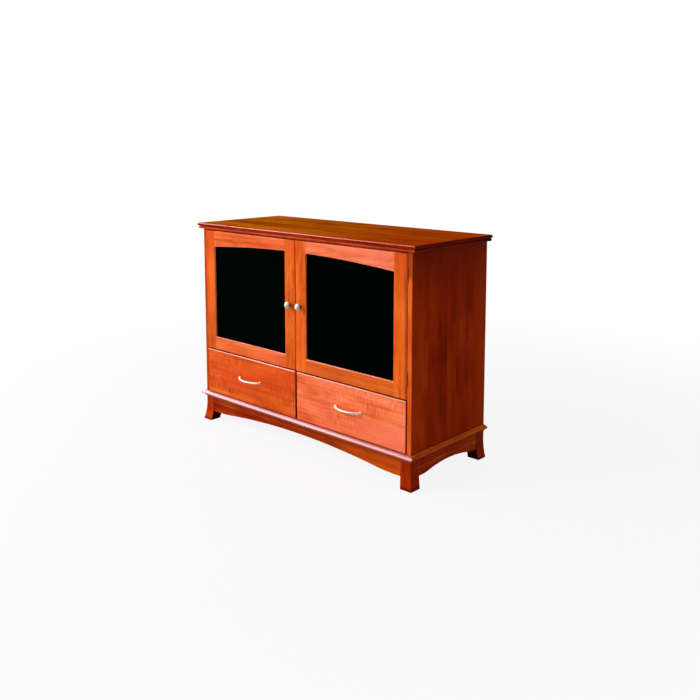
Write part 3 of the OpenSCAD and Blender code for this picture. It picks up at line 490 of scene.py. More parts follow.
def lathe(name, outline, base, steps=48):
    # outline is (radius, height) in mm; height runs forwards from base
    bm = bmesh.new()
    up = Vector((0, -1, 0))
    first = up.orthogonal().normalized()
    second = up.cross(first)
    rings = []
    for radius, height in outline:
        centre = base + up * height / 1000
        if radius < 1e-6:
            rings.append([bm.verts.new(centre)])
            continue
        rings.append([bm.verts.new(centre + (first * math.cos(t) + second * math.sin(t)) * radius / 1000)
                      for t in turns(steps)])
    for one, two in zip(rings, rings[1:]):
        for k in range(steps):
            j = k + 1
            corners = [one[k % len(one)], one[j % len(one)], two[j % len(two)], two[k % len(two)]]
            corners = list(dict.fromkeys(corners))
            if len(corners) > 2:
                bm.faces.new(corners)
    for ring in (rings[0], rings[-1]):
        if len(ring) > 2:
            bm.faces.new(ring)
    return meshOf(bm, name)


def newTree(name, sizes):
    # a geometry tree with named inputs; sizes gives the kind of each
    tree = bpy.data.node_groups.new(name, "GeometryNodeTree")
    for way in ("INPUT", "OUTPUT"):
        tree.interface.new_socket("Geometry", in_out=way, socket_type="NodeSocketGeometry")
    for label, kind in sizes.items():
        tree.interface.new_socket(label, in_out="INPUT", socket_type="NodeSocket" + kind)
    bench = Bench(tree)
    return bench, bench.node("NodeGroupInput")


def endTree(bench, geometry, material):
    real = bench.node("GeometryNodeRealizeInstances", {}, {0: geometry})
    painted = bench.node("GeometryNodeSetMaterial", {}, {"Geometry": real, "Material": material})
    bench.end("NodeGroupOutput", painted, 0)


def grow(name, mesh, bench, values):
    # runs the tree on the mesh and keeps the result as a plain mesh
    piece = holder(name, mesh)
    modifier = piece.modifiers.new("grow", "NODES")
    modifier.node_group = bench.tree
    for item in bench.tree.interface.items_tree:
        if item.in_out == "INPUT" and item.name in values:
            modifier[item.identifier] = values[item.name]
    settle(piece)
    bm = bmesh.new()
    bm.from_mesh(piece.data)
    bmesh.ops.remove_doubles(bm, verts=bm.verts, dist=1e-7)
    bmesh.ops.recalc_face_normals(bm, faces=bm.faces)
    bm.to_mesh(piece.data)
    bm.free()
    return piece


topBoard = {"halfWidth": 610, "front": -16.5, "back": 462, "bottom": 865, "thick": 25,
            "round": 5.5, "edge": 13.5, "quirk": 9.5, "bead": 6, "beadStep": 4}


def topProfile(sizes):
    # (distance in from the edge, height), from the upper face round to the lower one
    r, bead = sizes["round"], sizes["bead"]
    points = [(r - r * math.sin(a), sizes["thick"] - r + r * math.cos(a))
              for a in (math.pi / 2 * k / 8 for k in range(9))]
    points += [(0, sizes["edge"]), (sizes["quirk"], sizes["edge"])]
    start = math.acos((sizes["beadStep"] + bead - sizes["quirk"]) / bead)
    centre = sizes["beadStep"] + bead
    points += [(centre - bead * math.cos(a), bead + bead * math.sin(a))
               for a in (start + (-math.pi / 2 - start) * k / 18 for k in range(19))]
    return points


def topRule(centre, normal):
    # which of the five finishes a face of the top board has; the bead gets painted light and the upper round
    # a painted highlight
    if abs(normal.z) > 0.99:
        return 0
    if abs(normal.x) > 0.4:
        return 4
    if centre.z < (topBoard["bottom"] + 2 * topBoard["bead"]) / 1000:
        return 2
    return 3 if normal.z > 0.3 and normal.x < 0.2 else 1


def makeTop(sizes):
    bm = bmesh.new()
    half, front, back = sizes["halfWidth"], sizes["front"], sizes["back"]
    rings = []
    for inset, height in topProfile(sizes):
        z = sizes["bottom"] + height
        rings.append([bm.verts.new(at(*corner)) for corner in
                      ((-half + inset, back, z), (-half + inset, front + inset, z),
                       (half - inset, front + inset, z), (half - inset, back, z))])
    for one, two in zip(rings, rings[1:]):
        for k in range(3):
            bm.faces.new([one[k], one[k + 1], two[k + 1], two[k]])
    bm.faces.new(rings[0])
    bm.faces.new(list(reversed(rings[-1])))
    bm.faces.new([ring[0] for ring in rings] + [ring[3] for ring in reversed(rings)])
    piece = polish(holder("top_board", meshOf(bm, "top_board")), 50)
    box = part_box("table_top")
    dressed(piece.data, [
        wood("topFace", box, "x", "z", "top", glued=0.092, fades=[("x", -0.05, 0.5, (172, 14, 0))],
             gloss=0.36, specular=0.0, calm=1.25),
        wood("topEdge", box, "x", "y", "topEdge", specular=0.02),
        wood("topBead", box, "x", "y", "topBead", specular=0.02),
        wood("topRound", box, "x", "y", "topRound", specular=0.05),
        wood("topSide", box, "y", "x", "topSide", specular=0.01)], topRule)
    fit(piece, "case", ("table_top",))


makeTop(topBoard)
print("top board done")


def woodFor(node, suffix, grain, face, tone, **look):
    return wood(node + suffix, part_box(node), grain, face, tone, **look)


def footLook(flare):
    # a painted highlight on the flare of a foot, and darker towards its sole
    sole = (16, 2, 0)
    return {"specular": 0.015,
            "fades": [("z", 0.058, 0.022, flare), ("z", 0.02, 0.006, sole), ("z", 0.01, 0.002, sole)]}


boardList = {  # node: grain, face, tone, ease of the edges in mm, looks of its own
    "back_panel": ("z", "y", "ply", 0.3, {}),
    "bottom_panel": ("x", "z", "inside", 0.5, {}),
    "mid_panel": ("x", "z", "inside", 0.5, {}),
    "top_stretchers": ("x", "z", "pale", 0.5, {}),
    "centre_partition": ("z", "x", "inside", 0.5, {}),
    "drawer_divider": ("z", "x", "inside", 0.5, {}),
    "shelf_left": ("x", "z", "inside", 0.8, {"glued": 0.1}),
    "shelf_right": ("x", "z", "inside", 0.8, {"glued": 0.1}),
    # paler towards the right end, and a painted shadow under the base moulding
    "apron_front": ("x", "y", "apron", 0.8, {"specular": 0.015, "fades": [
        ("x", -0.35, 0.55, (228, 100, 20)), ("z", 0.086, 0.11, (30, 0, 0))]}),
    "apron_left": ("y", "x", "apron", 0.8, {"specular": 0.01}),
    "apron_right": ("y", "x", "apron", 0.8, {"specular": 0.01}),
    "apron_rear": ("x", "y", "apron", 0.8, {"specular": 0.03}),
    "foot_front_left": ("z", "y", "foot", 0.9, footLook((232, 76, 14))),
    "foot_front_right": ("z", "y", "foot", 0.9, footLook((168, 40, 4))),
    "foot_rear_left": ("z", "x", "foot", 0.9, footLook((190, 46, 4))),
    "foot_rear_right": ("z", "x", "foot", 0.9, footLook((190, 46, 4))),
    "corner_braces": ("x", "y", "pale", 0.6, {}),
}
for side in sides:
    stile, upper, lower, front = {"left": ("stileLeft", "railLeft", "railLeft", "drawerLeft"),
                                  "right": ("stile", "rail", "lowRail", "drawerRight")}[side]
    boardList |= {
        # the outer stiles darken towards the top: painted shade under the top board
        side + "_door_stile_outer": ("z", "y", stile, 0.5,
                                     {"calm": 0.75, "fades": [("z", 0.68, 0.87, (196, 56, 0))]}),
        side + "_door_stile_inner": ("z", "y", stile, 0.5, {"calm": 0.75}),
        side + "_door_rail_top": ("x", "y", upper, 0.5, {"calm": 0.9}),
        side + "_door_rail_bottom": ("x", "y", lower, 0.5, {"calm": 0.9}),
        side + "_drawer_front": ("x", "y", front, 0.3, {"figure": 1.1, "calm": 0.65}),
        side + "_drawer_ends": ("x", "y", "pale", 0.5, {}),
        side + "_drawer_bottom": ("x", "z", "ply", 0.3, {}),
    }


def drawerRule(centre, normal):
    # painted shade on the edges that face into the gaps, and a painted highlight along the upper round
    return 2 if normal.z > 0.15 and normal.y < -0.5 else 1 if abs(normal.y) < 0.5 else 0


doorEdges = {"near": 0.002, "flush": 0.0005,  # m
             "glassRound": 1.6,  # mm
             "facing": (-1, 4)}  # mm: between these depths a painted shadow darkens the painted-light faces beside the glass


def doorRule(side):
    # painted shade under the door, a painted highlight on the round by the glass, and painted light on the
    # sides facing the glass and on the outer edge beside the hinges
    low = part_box(side + "_door_stile_outer")[0].lerp(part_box(side + "_door_stile_inner")[0], 0.5)
    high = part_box(side + "_door_stile_outer")[1].lerp(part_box(side + "_door_stile_inner")[1], 0.5)
    middle, outwards = (low + high) / 2, sides[side]

    def inwards(centre, normal):
        return (middle - centre).dot(Vector((normal.x, 0, normal.z))) > doorEdges["near"]

    def rule(centre, normal):
        if centre.z - low.z < doorEdges["near"] and normal.y > -0.9:
            return 1
        if inwards(centre, normal) and normal.x > 0.5:
            return 3
        return 2 if inwards(centre, normal) and -0.99 < normal.y < -0.1 \
            or normal.x * outwards > 0.9 and not inwards(centre, normal) else 0

    def byTheGlass(edge):
        centre = (edge.verts[0].co + edge.verts[1].co) / 2
        return centre.y < low.y + doorEdges["flush"] and any(
            abs(face.normal.y) < 0.1 and inwards(centre, face.normal) for face in edge.link_faces)
    return rule, byTheGlass


def footRule(outwards, rear):
    # painted shade on the sides that look to the middle of the base, and on the rear feet's front faces
    return lambda centre, normal: 1 if normal.x * outwards < -0.3 or rear and normal.y < -0.3 else 0


for node, (grain, face, tone, ease, look) in boardList.items():
    slot = "pale_wood" if tone in ("pale", "ply") else "cherry_wood"
    materials, rule, rounded = [woodFor(node, "_wood", grain, face, tone, **look)], None, None
    if node.endswith("drawer_front"):
        rule = drawerRule
        # painted shade in the gaps, and a painted highlight on the upper round
        materials += [woodFor(node, "_rim", grain, face, "paintedGapShade", specular=0.0),
                      woodFor(node, "_edge", grain, face, "wearAndHighlight", specular=0.4)]
    elif "_door_" in node:
        rule, rounded = doorRule(node.split("_")[0])
        # painted shadow on those sides, darkest near the glass
        shade = ("y", *(at(0, y, 0).y for y in doorEdges["facing"]), (40, 0, 0))
        materials += [woodFor(node, "_rim", grain, face, "paintedGapShade", specular=0.0),
                      woodFor(node, "_lip", grain, face, "lip", specular=0.4),
                      woodFor(node, "_facing", grain, face, "lipFacingPaintedLight", specular=0.3, fades=[shade])]
    elif tone == "foot":
        rule = footRule(sides[node.split("_")[-1]], "rear" in node)
        materials.append(woodFor(node, "_inner", grain, face, "shaded", specular=0.01))
    easedBoard(node, ease, materials, rule, rounded, doorEdges["glassRound"])

dovetails = {"reach": 0.0125, "pitch": 0.03, "line": 0.0002,  # m: depth, one tail to the next, scribed line
             "waist": 0.16, "slope": 6,  # half width of a pin in pitches, and how it widens per m
             "endGrain": 0.55, "glueLine": 0.6, "glue": (110, 78, 46)}
for side in sides:
    node = side + "_drawer_sides"
    low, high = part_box(node)
    tails = dovetails | {"ends": (low.y, high.y)}
    easedBoard(node, 0.5, [woodFor(node, "_wood", "y", "x", "pale", tails=tails)])

flankFades = [("y", -0.14, -0.214, (184, 58, 6)), ("y", 0.12, 0.25, (190, 60, 6)),
              ("z", 0.6, 0.88, (70, 6, 0))]
# the right strip darkens near its top: a painted shadow of the top board's overhang
stripLook = {"left": ("stripLeft", []), "right": ("strip", [("z", 0.765, 0.79, (110, 0, 0))])}


def panelRule(centre, normal):
    # the front edge of a side panel is a strip of its own
    return 1 if normal.y < -0.5 and centre.y < -0.2 else 0


for side, (tone, fades) in stripLook.items():
    node = "side_panel_" + side
    easedBoard(node, 0.3, [
        woodFor(node, "_wood", "z", "x", "flank", glued=0.057, gloss=0.34, specular=0.006, calm=0.35,
                fades=flankFades),
        woodFor(node, "_front", "z", "y", tone, specular=0.02, fades=fades)], panelRule)
    node = side + "_door_glass_stops"
    easedBoard(node, 0.4, [woodFor(node, "_wood", "x", "y", "inside")])
print("boards done")


moulding = {"high": 23, "out": 19, "roll": 24, "nose": 11.5, "foot": 5,
            "side": 587.5, "back": 459, "bottom": 111}


def mouldingSection(sizes):
    # outline as (out, up), in mm: rounded over the top, a cove under the nose
    roll, cove = sizes["roll"], sizes["out"] - sizes["foot"]
    turn = math.asin(sizes["out"] / roll)
    points = [(roll * math.sin(turn * k / 16), sizes["high"] - roll + roll * math.cos(turn * k / 16))
              for k in range(17)]
    bottom = math.asin((cove - sizes["nose"]) / cove)
    points += [(sizes["out"] - cove * math.sin(a), sizes["nose"] - cove + cove * math.cos(a))
               for a in ((math.pi / 2 - bottom) * k / 12 for k in range(13))]
    return points + [(0, 0)]


def mouldingTree():
    # sweeps the section along a straight length and shears its ends to the mitres
    bench, given = newTree("mitredLength", {"Length": "Float", "Mitre at start": "Float",
                                            "Mitre at end": "Float", "Turn": "Vector",
                                            "Place": "Vector", "Finish": "Material"})
    half = given.out("Length") * 0.5
    start = bench.node("ShaderNodeCombineXYZ", {}, {0: half * -1})
    end = bench.node("ShaderNodeCombineXYZ", {}, {0: half})
    path = bench.node("GeometryNodeCurvePrimitiveLine", {}, {"Start": start, "End": end})
    section = bench.node("GeometryNodeMeshToCurve", {}, {0: given.out("Geometry")})
    swept = bench.node("GeometryNodeCurveToMesh", {}, {"Curve": path, "Profile Curve": section,
                                                       "Fill Caps": True})
    x, y, _ = bench.node("GeometryNodeInputPosition").split()
    atEnd = x.sum("GREATER_THAN", x, 0.0)
    shift = y * -1 * (atEnd * given.out("Mitre at end") - (1 - atEnd) * given.out("Mitre at start"))
    moved = bench.node("GeometryNodeSetPosition", {}, {
        "Geometry": swept, "Offset": bench.node("ShaderNodeCombineXYZ", {}, {0: shift})})
    placed = bench.node("GeometryNodeTransform", {}, {"Geometry": moved, "Rotation": given.out("Turn"),
                                                      "Translation": given.out("Place")})
    endTree(bench, placed, given.out("Finish"))
    return bench


def roundRule(centre, normal):
    # the upper round of a side length, which gets painted light
    return 1 if normal.z > 0.4 else 0


def makeMouldings(sizes):
    bench = mouldingTree()
    points = mouldingSection(sizes)
    count = len(points)
    side, back, bottom = sizes["side"], sizes["back"], sizes["bottom"]
    quarter = math.pi / 2
    lengths = {"front": (2 * side, 1, 1, 0, at(0, 0, bottom), "x", "moulding", 0.74),
               "right": (back, 1, 0, quarter, at(side, back / 2, bottom), "y", "apron", 0.02),
               "left": (back, 0, 1, -quarter, at(-side, back / 2, bottom), "y", "apron", 0.02)}
    for name, (length, mitreStart, mitreEnd, turn, place, grain, tone, specular) in lengths.items():
        node = "base_moulding_" + name
        mesh = bpy.data.meshes.new(node)
        mesh.from_pydata([(out / 1000, -up / 1000, 0) for out, up in points],
                         [(k, (k + 1) % count) for k in range(count)], [])
        finish = woodFor(node, "_wood", grain, "z", tone, gloss=0.5, specular=specular)
        piece = grow(node + "_length", mesh, bench, {
            "Length": length / 1000, "Mitre at start": float(mitreStart), "Mitre at end": float(mitreEnd),
            "Turn": (0.0, 0.0, turn), "Place": place, "Finish": finish})
        polish(piece, 30)
        if name != "front":  # painted light along the upper round
            dressed(piece.data, [finish, woodFor(node, "_round", grain, "z", "sideRound", gloss=0.38,
                                                 specular=0.02)], roundRule)
        fit(piece, "case", (node,))


makeMouldings(moulding)
print("base mouldings done")


knob = {"x": 30, "z": 598.5, "radius": 14, "out": 25, "rim": 16.5, "lip": 1.5, "neck": 5.6,
        "base": 7.5, "baseHigh": 2.4, "flare": 1.6, "neckFrom": 2.6, "neckLong": 6.4, "neckShadeFrom": 1.2}


def knobProfile(sizes):
    # (radius, height above the door)
    r, rim, out, neck, lip = (sizes[key] for key in ("radius", "rim", "out", "neck", "lip"))
    cap, shoulder = out - rim, sizes["neckFrom"] + sizes["neckLong"]
    bow = (r * r + cap * cap) / (2 * cap)
    outline = [(sizes["base"] - 0.6, 0), (sizes["base"], 0.6), (sizes["base"], 1.7),
               (sizes["base"] - 0.7, sizes["baseHigh"])]
    for k in range(9):  # from the base into the neck
        t = k / 8
        outline.append((neck + sizes["flare"] * (1 - t) ** 2, sizes["neckFrom"] + sizes["neckLong"] * t))
    for k in range(1, 9):  # the neck opens under the cap
        a = math.pi / 2 * k / 8
        outline.append((neck + (r - 1.2 - neck) * (1 - math.cos(a)),
                        shoulder + (rim - 1.4 - shoulder) * math.sin(a)))
    for k in range(1, 8):  # the rim
        a = -math.pi / 2 + math.pi * 0.72 * k / 7
        outline.append((r - lip + lip * math.cos(a), rim + lip * math.sin(a)))
    edge = outline[-1]
    drop = out - bow + math.sqrt(bow * bow - edge[0] ** 2) - edge[1]
    for k in range(1, 17):  # the dome
        t = k / 16
        radius = edge[0] * (1 - t)
        outline.append((radius, out - bow + math.sqrt(bow * bow - radius * radius) - drop * (1 - t) ** 2))
    return outline


def makeKnob(side, sign, sizes):
    # its face is pale, and the neck gets darker metal as painted shade under the cap
    mesh = lathe(side + "_knob", knobProfile(sizes), at(sign * sizes["x"], doorFront, sizes["z"]))
    piece = polish(holder(side + "_knob", mesh), 40)
    neckEnd = at(0, doorFront - sizes["rim"] + sizes["neckShadeFrom"], 0).y
    dressed(piece.data, [knobNickel, neckPaintedShade], lambda centre, normal: 1 if centre.y > neckEnd else 0)
    fit(piece, side + "_door", (side + "_door_knob",))


pull = {"x": 284.75, "z": 237, "half": 64, "out": 30, "bar": 3.5, "root": 4.3, "steps": 72, "sides": 20,
        "collar": [(0, 0), (6.3, 0), (6.5, 0.3), (6.3, 1.1), (5.7, 1.9), (4.9, 2.3), (0, 2.3)],
        "end": [(0, 0.2), (0, 0.9), (0.4, 2.8), (2.0, 4.7)]}  # (inwards, out) of the short bend


def pullPath(sizes):
    # (along, out, radius): straight out of the collar, round a short bend, then one arc to the other end
    reach, bar, root = sizes["out"] - sizes["bar"], sizes["bar"], sizes["root"]
    ends = [(sizes["half"] - inwards, out, root) for inwards, out in sizes["end"]]
    span, rise = ends[-1][0], reach - ends[-1][1]
    turn = (span * span + rise * rise) / (2 * rise)
    bow = [(x, reach - turn + math.sqrt(turn * turn - x * x), bar + (root - bar) * (x / span) ** 2)
           for x in (span * 0.94 * (k / 8 - 1) for k in range(17))]
    return [(-along, out, radius) for along, out, radius in ends] + bow + list(reversed(ends))


def pullTree():
    bench, given = newTree("bowPull", {"Steps": "Int", "Sides": "Int", "Finish": "Material"})
    path = bench.node("GeometryNodeMeshToCurve", {}, {0: given.out("Geometry")})
    smooth = bench.node("GeometryNodeCurveSplineType", {"spline_type": "CATMULL_ROM"}, {0: path})
    girth = bench.node("GeometryNodeInputNamedAttribute", {"data_type": "FLOAT"}, {"Name": "girth"})
    even = bench.node("GeometryNodeResampleCurve", {"mode": "COUNT"},
                      {"Curve": smooth, "Count": given.out("Steps")})
    section = bench.node("GeometryNodeCurvePrimitiveCircle", {}, {"Resolution": given.out("Sides"),
                                                                  "Radius": 1.0})
    swept = bench.node("GeometryNodeCurveToMesh", {}, {"Curve": even, "Profile Curve": section,
                                                       "Scale": girth, "Fill Caps": True})
    endTree(bench, swept, given.out("Finish"))
    return bench


bowTree = pullTree()


def makePull(side, sign, sizes):
    points = pullPath(sizes)
    middle = sign * sizes["x"]
    mesh = bpy.data.meshes.new(side + "_pull")
    mesh.from_pydata([at(middle + along, doorFront - out, sizes["z"]) for along, out, _ in points],
                     [(k, k + 1) for k in range(len(points) - 1)], [])
    girth = mesh.attributes.new("girth", "FLOAT", "POINT")
    girth.data.foreach_set("value", [radius / 1000 for _, _, radius in points])
    piece = grow(side + "_pull", mesh, bowTree, {"Steps": sizes["steps"], "Sides": sizes["sides"],
                                                 "Finish": nickel})
    bm = bmesh.new()
    bm.from_mesh(piece.data)
    for end in (-sizes["half"], sizes["half"]):
        bm.from_mesh(lathe("collar", sizes["collar"], at(middle + end, doorFront, sizes["z"])))
    bm.to_mesh(piece.data)
    bm.free()
    polish(piece, 50)
    fit(piece, side + "_drawer", (side + "_drawer_pull",))


# mm; pan is how far a pan head's face is domed, and 0 is a countersunk head
screw = {"length": 15, "head": 2.8, "headHigh": 1.6, "shank": 1.4, "point": 2, "tip": 0.25, "pan": 0,
         "recess": 1.7, "bar": 0.42, "deep": 0.9, "taper": 0.6, "sides": 24, "seed": 11}
longSizes = screw | {"length": 35, "head": 4.2, "headHigh": 2.4, "shank": 2.0, "recess": 2.5, "bar": 0.6}
panSizes = screw | {"length": 12, "head": 4.0, "headHigh": 2.5, "shank": 2.0, "recess": 2.3, "bar": 0.55,
                    "deep": 1.2, "pan": 0.6}


def screwPattern(sizes):
    # one screw, its head's face up at 0 and its shank down; a cross is cut into the head
    bm = bmesh.new()
    arm, bar = sizes["recess"], sizes["bar"]

    def ring(radius, z):
        return [bm.verts.new((radius * math.cos(t) / 1000, radius * math.sin(t) / 1000, z / 1000))
                for t in turns(sizes["sides"])]

    rim = ring(sizes["head"], 0)
    cross = []
    for quarter in range(4):
        c, s = math.cos(quarter * math.pi / 2), math.sin(quarter * math.pi / 2)
        for x, y in ((bar, -bar), (arm, -bar), (arm, bar)):
            cross.append(((c * x - s * y) / 1000, (s * x + c * y) / 1000))
    taper = sizes["taper"]
    upper = [bm.verts.new((x, y, sizes["pan"] / 1000)) for x, y in cross]
    lower = [bm.verts.new((x * taper, y * taper, -sizes["deep"] / 1000)) for x, y in cross]
    edges = []
    for loop in (rim, upper):
        edges += [bm.edges.new((loop[k], loop[(k + 1) % len(loop)])) for k in range(len(loop))]
    bmesh.ops.triangle_fill(bm, edges=edges, use_beauty=True)
    reach, half = arm / 1000, bar / 1000
    for face in list(bm.faces):
        x, y = (abs(c) for c in face.calc_center_median()[:2])
        if max(x, y) < reach and min(x, y) < half:
            bm.faces.remove(face)
    skin(bm, [upper, lower])
    bm.faces.new(lower)
    outline = [(sizes["shank"], -sizes["headHigh"]), (sizes["shank"], -sizes["length"] + sizes["point"]),
               (sizes["tip"], -sizes["length"])]
    if sizes["pan"]:
        outline.insert(0, (sizes["head"], -sizes["headHigh"]))
    rings = [rim] + [ring(radius, z) for radius, z in outline]
    skin(bm, rings)
    bm.faces.new(rings[-1])
    return holder("screwPattern", meshOf(bm, "screwPattern"))


def scatterTree():
    # sets the pattern on each point, along the point's heading, turned at random about it
    bench, given = newTree("fasteners", {"Pattern": "Object", "Seed": "Int", "Finish": "Material"})
    pattern = bench.node("GeometryNodeObjectInfo", {}, {"Object": given.out("Pattern")}, out="Geometry")
    heading = bench.node("GeometryNodeInputNamedAttribute", {"data_type": "FLOAT_VECTOR"},
                         {"Name": "heading"})
    aimed = bench.node("FunctionNodeAlignRotationToVector", {"axis": "Z"}, {"Vector": heading})
    chance = bench.node("FunctionNodeRandomValue", {"data_type": "FLOAT"},
                        {2: 0.0, 3: 6.28, "Seed": given.out("Seed")}, out=1)
    spin = bench.node("ShaderNodeCombineXYZ", {}, {2: chance})
    turned = bench.node("FunctionNodeRotateRotation", {"rotation_space": "LOCAL"},
                        {0: aimed, 1: bench.node("FunctionNodeEulerToRotation", {}, {0: spin})})
    points = bench.node("GeometryNodeMeshToPoints", {}, {0: given.out("Geometry")})
    placed = bench.node("GeometryNodeInstanceOnPoints", {}, {"Points": points, "Instance": pattern,
                                                             "Rotation": turned})
    endTree(bench, placed, given.out("Finish"))
    return bench


fasteners = scatterTree()


def fastenerRows(name, spots, pattern, finish, body, nodes=()):
    # spots is a list of (place, heading)
    mesh = bpy.data.meshes.new(name)
    mesh.from_pydata([place for place, _ in spots], [], [])
    headings = mesh.attributes.new("heading", "FLOAT_VECTOR", "POINT")
    headings.data.foreach_set("vector", [c for _, way in spots for c in way])
    piece = grow(name, mesh, fasteners, {"Pattern": pattern, "Seed": screw["seed"], "Finish": finish})
    fit(polish(piece, 30), body, nodes)


def screwSpots(node, lengthAxis, headEnd):
    # head places of the screws of a node; headEnd says at which end of a solid the head is
    spots, axis = [], "xyz".index(lengthAxis)
    for low, high in solidsOf(node):
        size = high - low
        if max(range(3), key=lambda i: size[i]) != axis:
            continue
        middle = (low + high) / 2
        sign = headEnd(middle)
        way = Vector((0, 0, 0))
        way[axis] = sign
        middle[axis] = high[axis] if sign > 0 else low[axis]
        spots.append((middle, way))
    return spots


woodScrew, longScrew, panScrew = (screwPattern(sizes) for sizes in (screw, longSizes, panSizes))
hingeSpots = screwSpots("case_screws", "x", lambda middle: -1 if middle.x > 0 else 1)
topSpots = screwSpots("case_screws", "z", lambda middle: -1)
fastenerRows("case_screw_rows", hingeSpots, woodScrew, copper, "case", ("case_screws",))
fastenerRows("top_screw_rows", topSpots, longScrew, zinc, "case")

strike = {"widest": 0.03, "corner": 0.002, "cornerSteps": 4, "rim": 0.0002, "rimSteps": 2,
          "sink": 0.0001}  # m; a solid wider than widest is the plate, and its screw sinks in a little
insideFace = {"door": 15, "drawer": 27.5}  # mm, where the screws of knob and pull bear
hingeSide = 0.3  # m from the middle, past which a door's screws are its hinge leaves'


def makeStrike(side, low, high):
    # a flat plate with rounded corners
    bm = bmesh.new()
    bmesh.ops.create_cube(bm, size=1.0)
    for vert in bm.verts:
        vert.co = Vector([(low[i] + high[i]) / 2 + vert.co[i] * (high[i] - low[i]) for i in range(3)])
    corners = [edge for edge in bm.edges if abs(edge.verts[0].co.y - edge.verts[1].co.y) > 1e-4]
    bmesh.ops.bevel(bm, geom=corners, offset=strike["corner"], segments=strike["cornerSteps"], profile=0.5,
                    affect="EDGES")
    rims = [edge for edge in bm.edges if abs(edge.verts[0].co.y - edge.verts[1].co.y) < 1e-6
            and edge.calc_face_angle(0) > 1]
    bmesh.ops.bevel(bm, geom=rims, offset=strike["rim"], segments=strike["rimSteps"], profile=0.5,
                    affect="EDGES")
    plate = polish(holder(side + "_strike_plate", meshOf(bm, "plate")))
    dressed(plate.data, [zinc])
    fit(plate, side + "_door")


for side, sign in sides.items():
    node, door, back = side + "_door_fixings", side + "_door", Vector((0, 1, 0))
    leafSpots = [spot for spot in screwSpots(node, "x", lambda middle: sign) if abs(spot[0].x) > hingeSide]
    fastenerRows(side + "_leaf_screws", leafSpots, woodScrew, copper, door, (node,))
    low, high = next(box for box in solidsOf(node) if (box[1] - box[0]).x > strike["widest"])
    makeStrike(side, low, high)
    middle = (low + high) / 2
    headHigh = panSizes["headHigh"]
    knobSpot = at(sign * knob["x"], insideFace["door"] + headHigh, knob["z"])
    fastenerRows(side + "_door_screws", [(knobSpot, back)], panScrew, zinc, door)
    strikeSpot = Vector((middle.x, high.y + strike["sink"], middle.z))
    fastenerRows(side + "_strike_screw", [(strikeSpot, back)], woodScrew, zinc, door)
    pullSpots = [(at(sign * (pull["x"] + d), insideFace["drawer"] + headHigh, pull["z"]), back)
                 for d in (-pull["half"], pull["half"])]
    fastenerRows(side + "_pull_screws", pullSpots, panScrew, zinc, side + "_drawer")

brads = {"pitch": 0.094, "inset": 0.005, "radius": 0.0017, "proud": 0.00035}  # m


def bradTree():
    # small domed heads at even steps along a path
    bench, given = newTree("bradRows", {"Pitch": "Float", "Radius": "Float", "Proud": "Float",
                                        "Finish": "Material"})
    path = bench.node("GeometryNodeMeshToCurve", {}, {0: given.out("Geometry")})
    points = bench.node("GeometryNodeResampleCurve", {"mode": "LENGTH"},
                        {"Curve": path, "Length": given.out("Pitch")})
    dome = bench.node("GeometryNodeMeshUVSphere", {}, {"Segments": 12, "Rings": 8,
                                                       "Radius": given.out("Radius")})
    squat = bench.node("ShaderNodeCombineXYZ", {}, {0: 1.0, 1: given.out("Proud") / given.out("Radius"),
                                                    2: 1.0})
    flat = bench.node("GeometryNodeTransform", {}, {"Geometry": dome, "Scale": squat})
    placed = bench.node("GeometryNodeInstanceOnPoints", {}, {"Points": points, "Instance": flat})
    endTree(bench, placed, given.out("Finish"))
    return bench


def makeBrads(sizes):
    # one row round the back board
    low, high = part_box("back_panel")
    left, right = low.x + sizes["inset"], high.x - sizes["inset"]
    bottom, top = low.z + sizes["inset"], high.z - sizes["inset"]
    mesh = bpy.data.meshes.new("bradPath")
    mesh.from_pydata([(left, high.y, bottom), (right, high.y, bottom), (right, high.y, top),
                      (left, high.y, top)], [(0, 1), (1, 2), (2, 3), (3, 0)], [])
    rows = grow("back_brads", mesh, bradTree(), {"Pitch": sizes["pitch"], "Radius": sizes["radius"],
                                                 "Proud": sizes["proud"], "Finish": zinc})
    fit(polish(rows, 30), "case")


makeBrads(brads)

cableRing = {"x": 289, "y": 459, "z": 735, "inner": 29.5, "barrel": 31.8, "flange": 38, "thick": 1.4,
             "deep": 7, "sides": 64}


def makeCableRing(side, sign, sizes):
    inner, flange, barrel, thick = (sizes[key] for key in ("inner", "flange", "barrel", "thick"))
    outline = [(inner, 1.0), (inner + 1.2, thick), (flange - 1, thick), (flange, 0.6), (flange, 0.02),
               (barrel, 0.02), (barrel, -sizes["deep"]), (inner, -sizes["deep"])]
    bm = bmesh.new()
    base = at(sign * sizes["x"], sizes["y"], sizes["z"])
    rings = [[bm.verts.new(base + Vector((r * math.cos(t), h, r * math.sin(t))) / 1000)
              for t in turns(sizes["sides"])] for r, h in outline]
    skin(bm, rings + rings[:1])
    piece = polish(holder(side + "_cable_ring", meshOf(bm, "ring")), 30)
    dressed(piece.data, [blackPlastic])
    fit(piece, "case")


for side, sign in sides.items():
    makeCableRing(side, sign, cableRing)
print("screws, brads and rings done")

for side, sign in sides.items():
    makeKnob(side, sign, knob)
    makePull(side, sign, pull)
print("knobs and pulls done")

ownForm = {  # nodes that keep their CAD form
    "left_door_glass": smoked, "right_door_glass": smoked, "shelf_pegs": zinc,
    "foot_glides": blackPlastic, "door_catches": blackPlastic, "hinge_case_leaves": copper,
    "hinge_pins": copper, "left_door_hinge_leaves": copper, "right_door_hinge_leaves": copper,
    "slide_rails": zinc, "left_drawer_runners": zinc, "right_drawer_runners": zinc}
for node, finish in ownForm.items():
    slots = frame["nodes"][node].material_slots
    if not slots:
        frame["nodes"][node].data.materials.append(finish)
    for slot in slots:
        slot.link = "OBJECT"
        slot.material = finish
for pattern in (woodScrew, longScrew, panScrew):
    bpy.data.objects.remove(pattern)


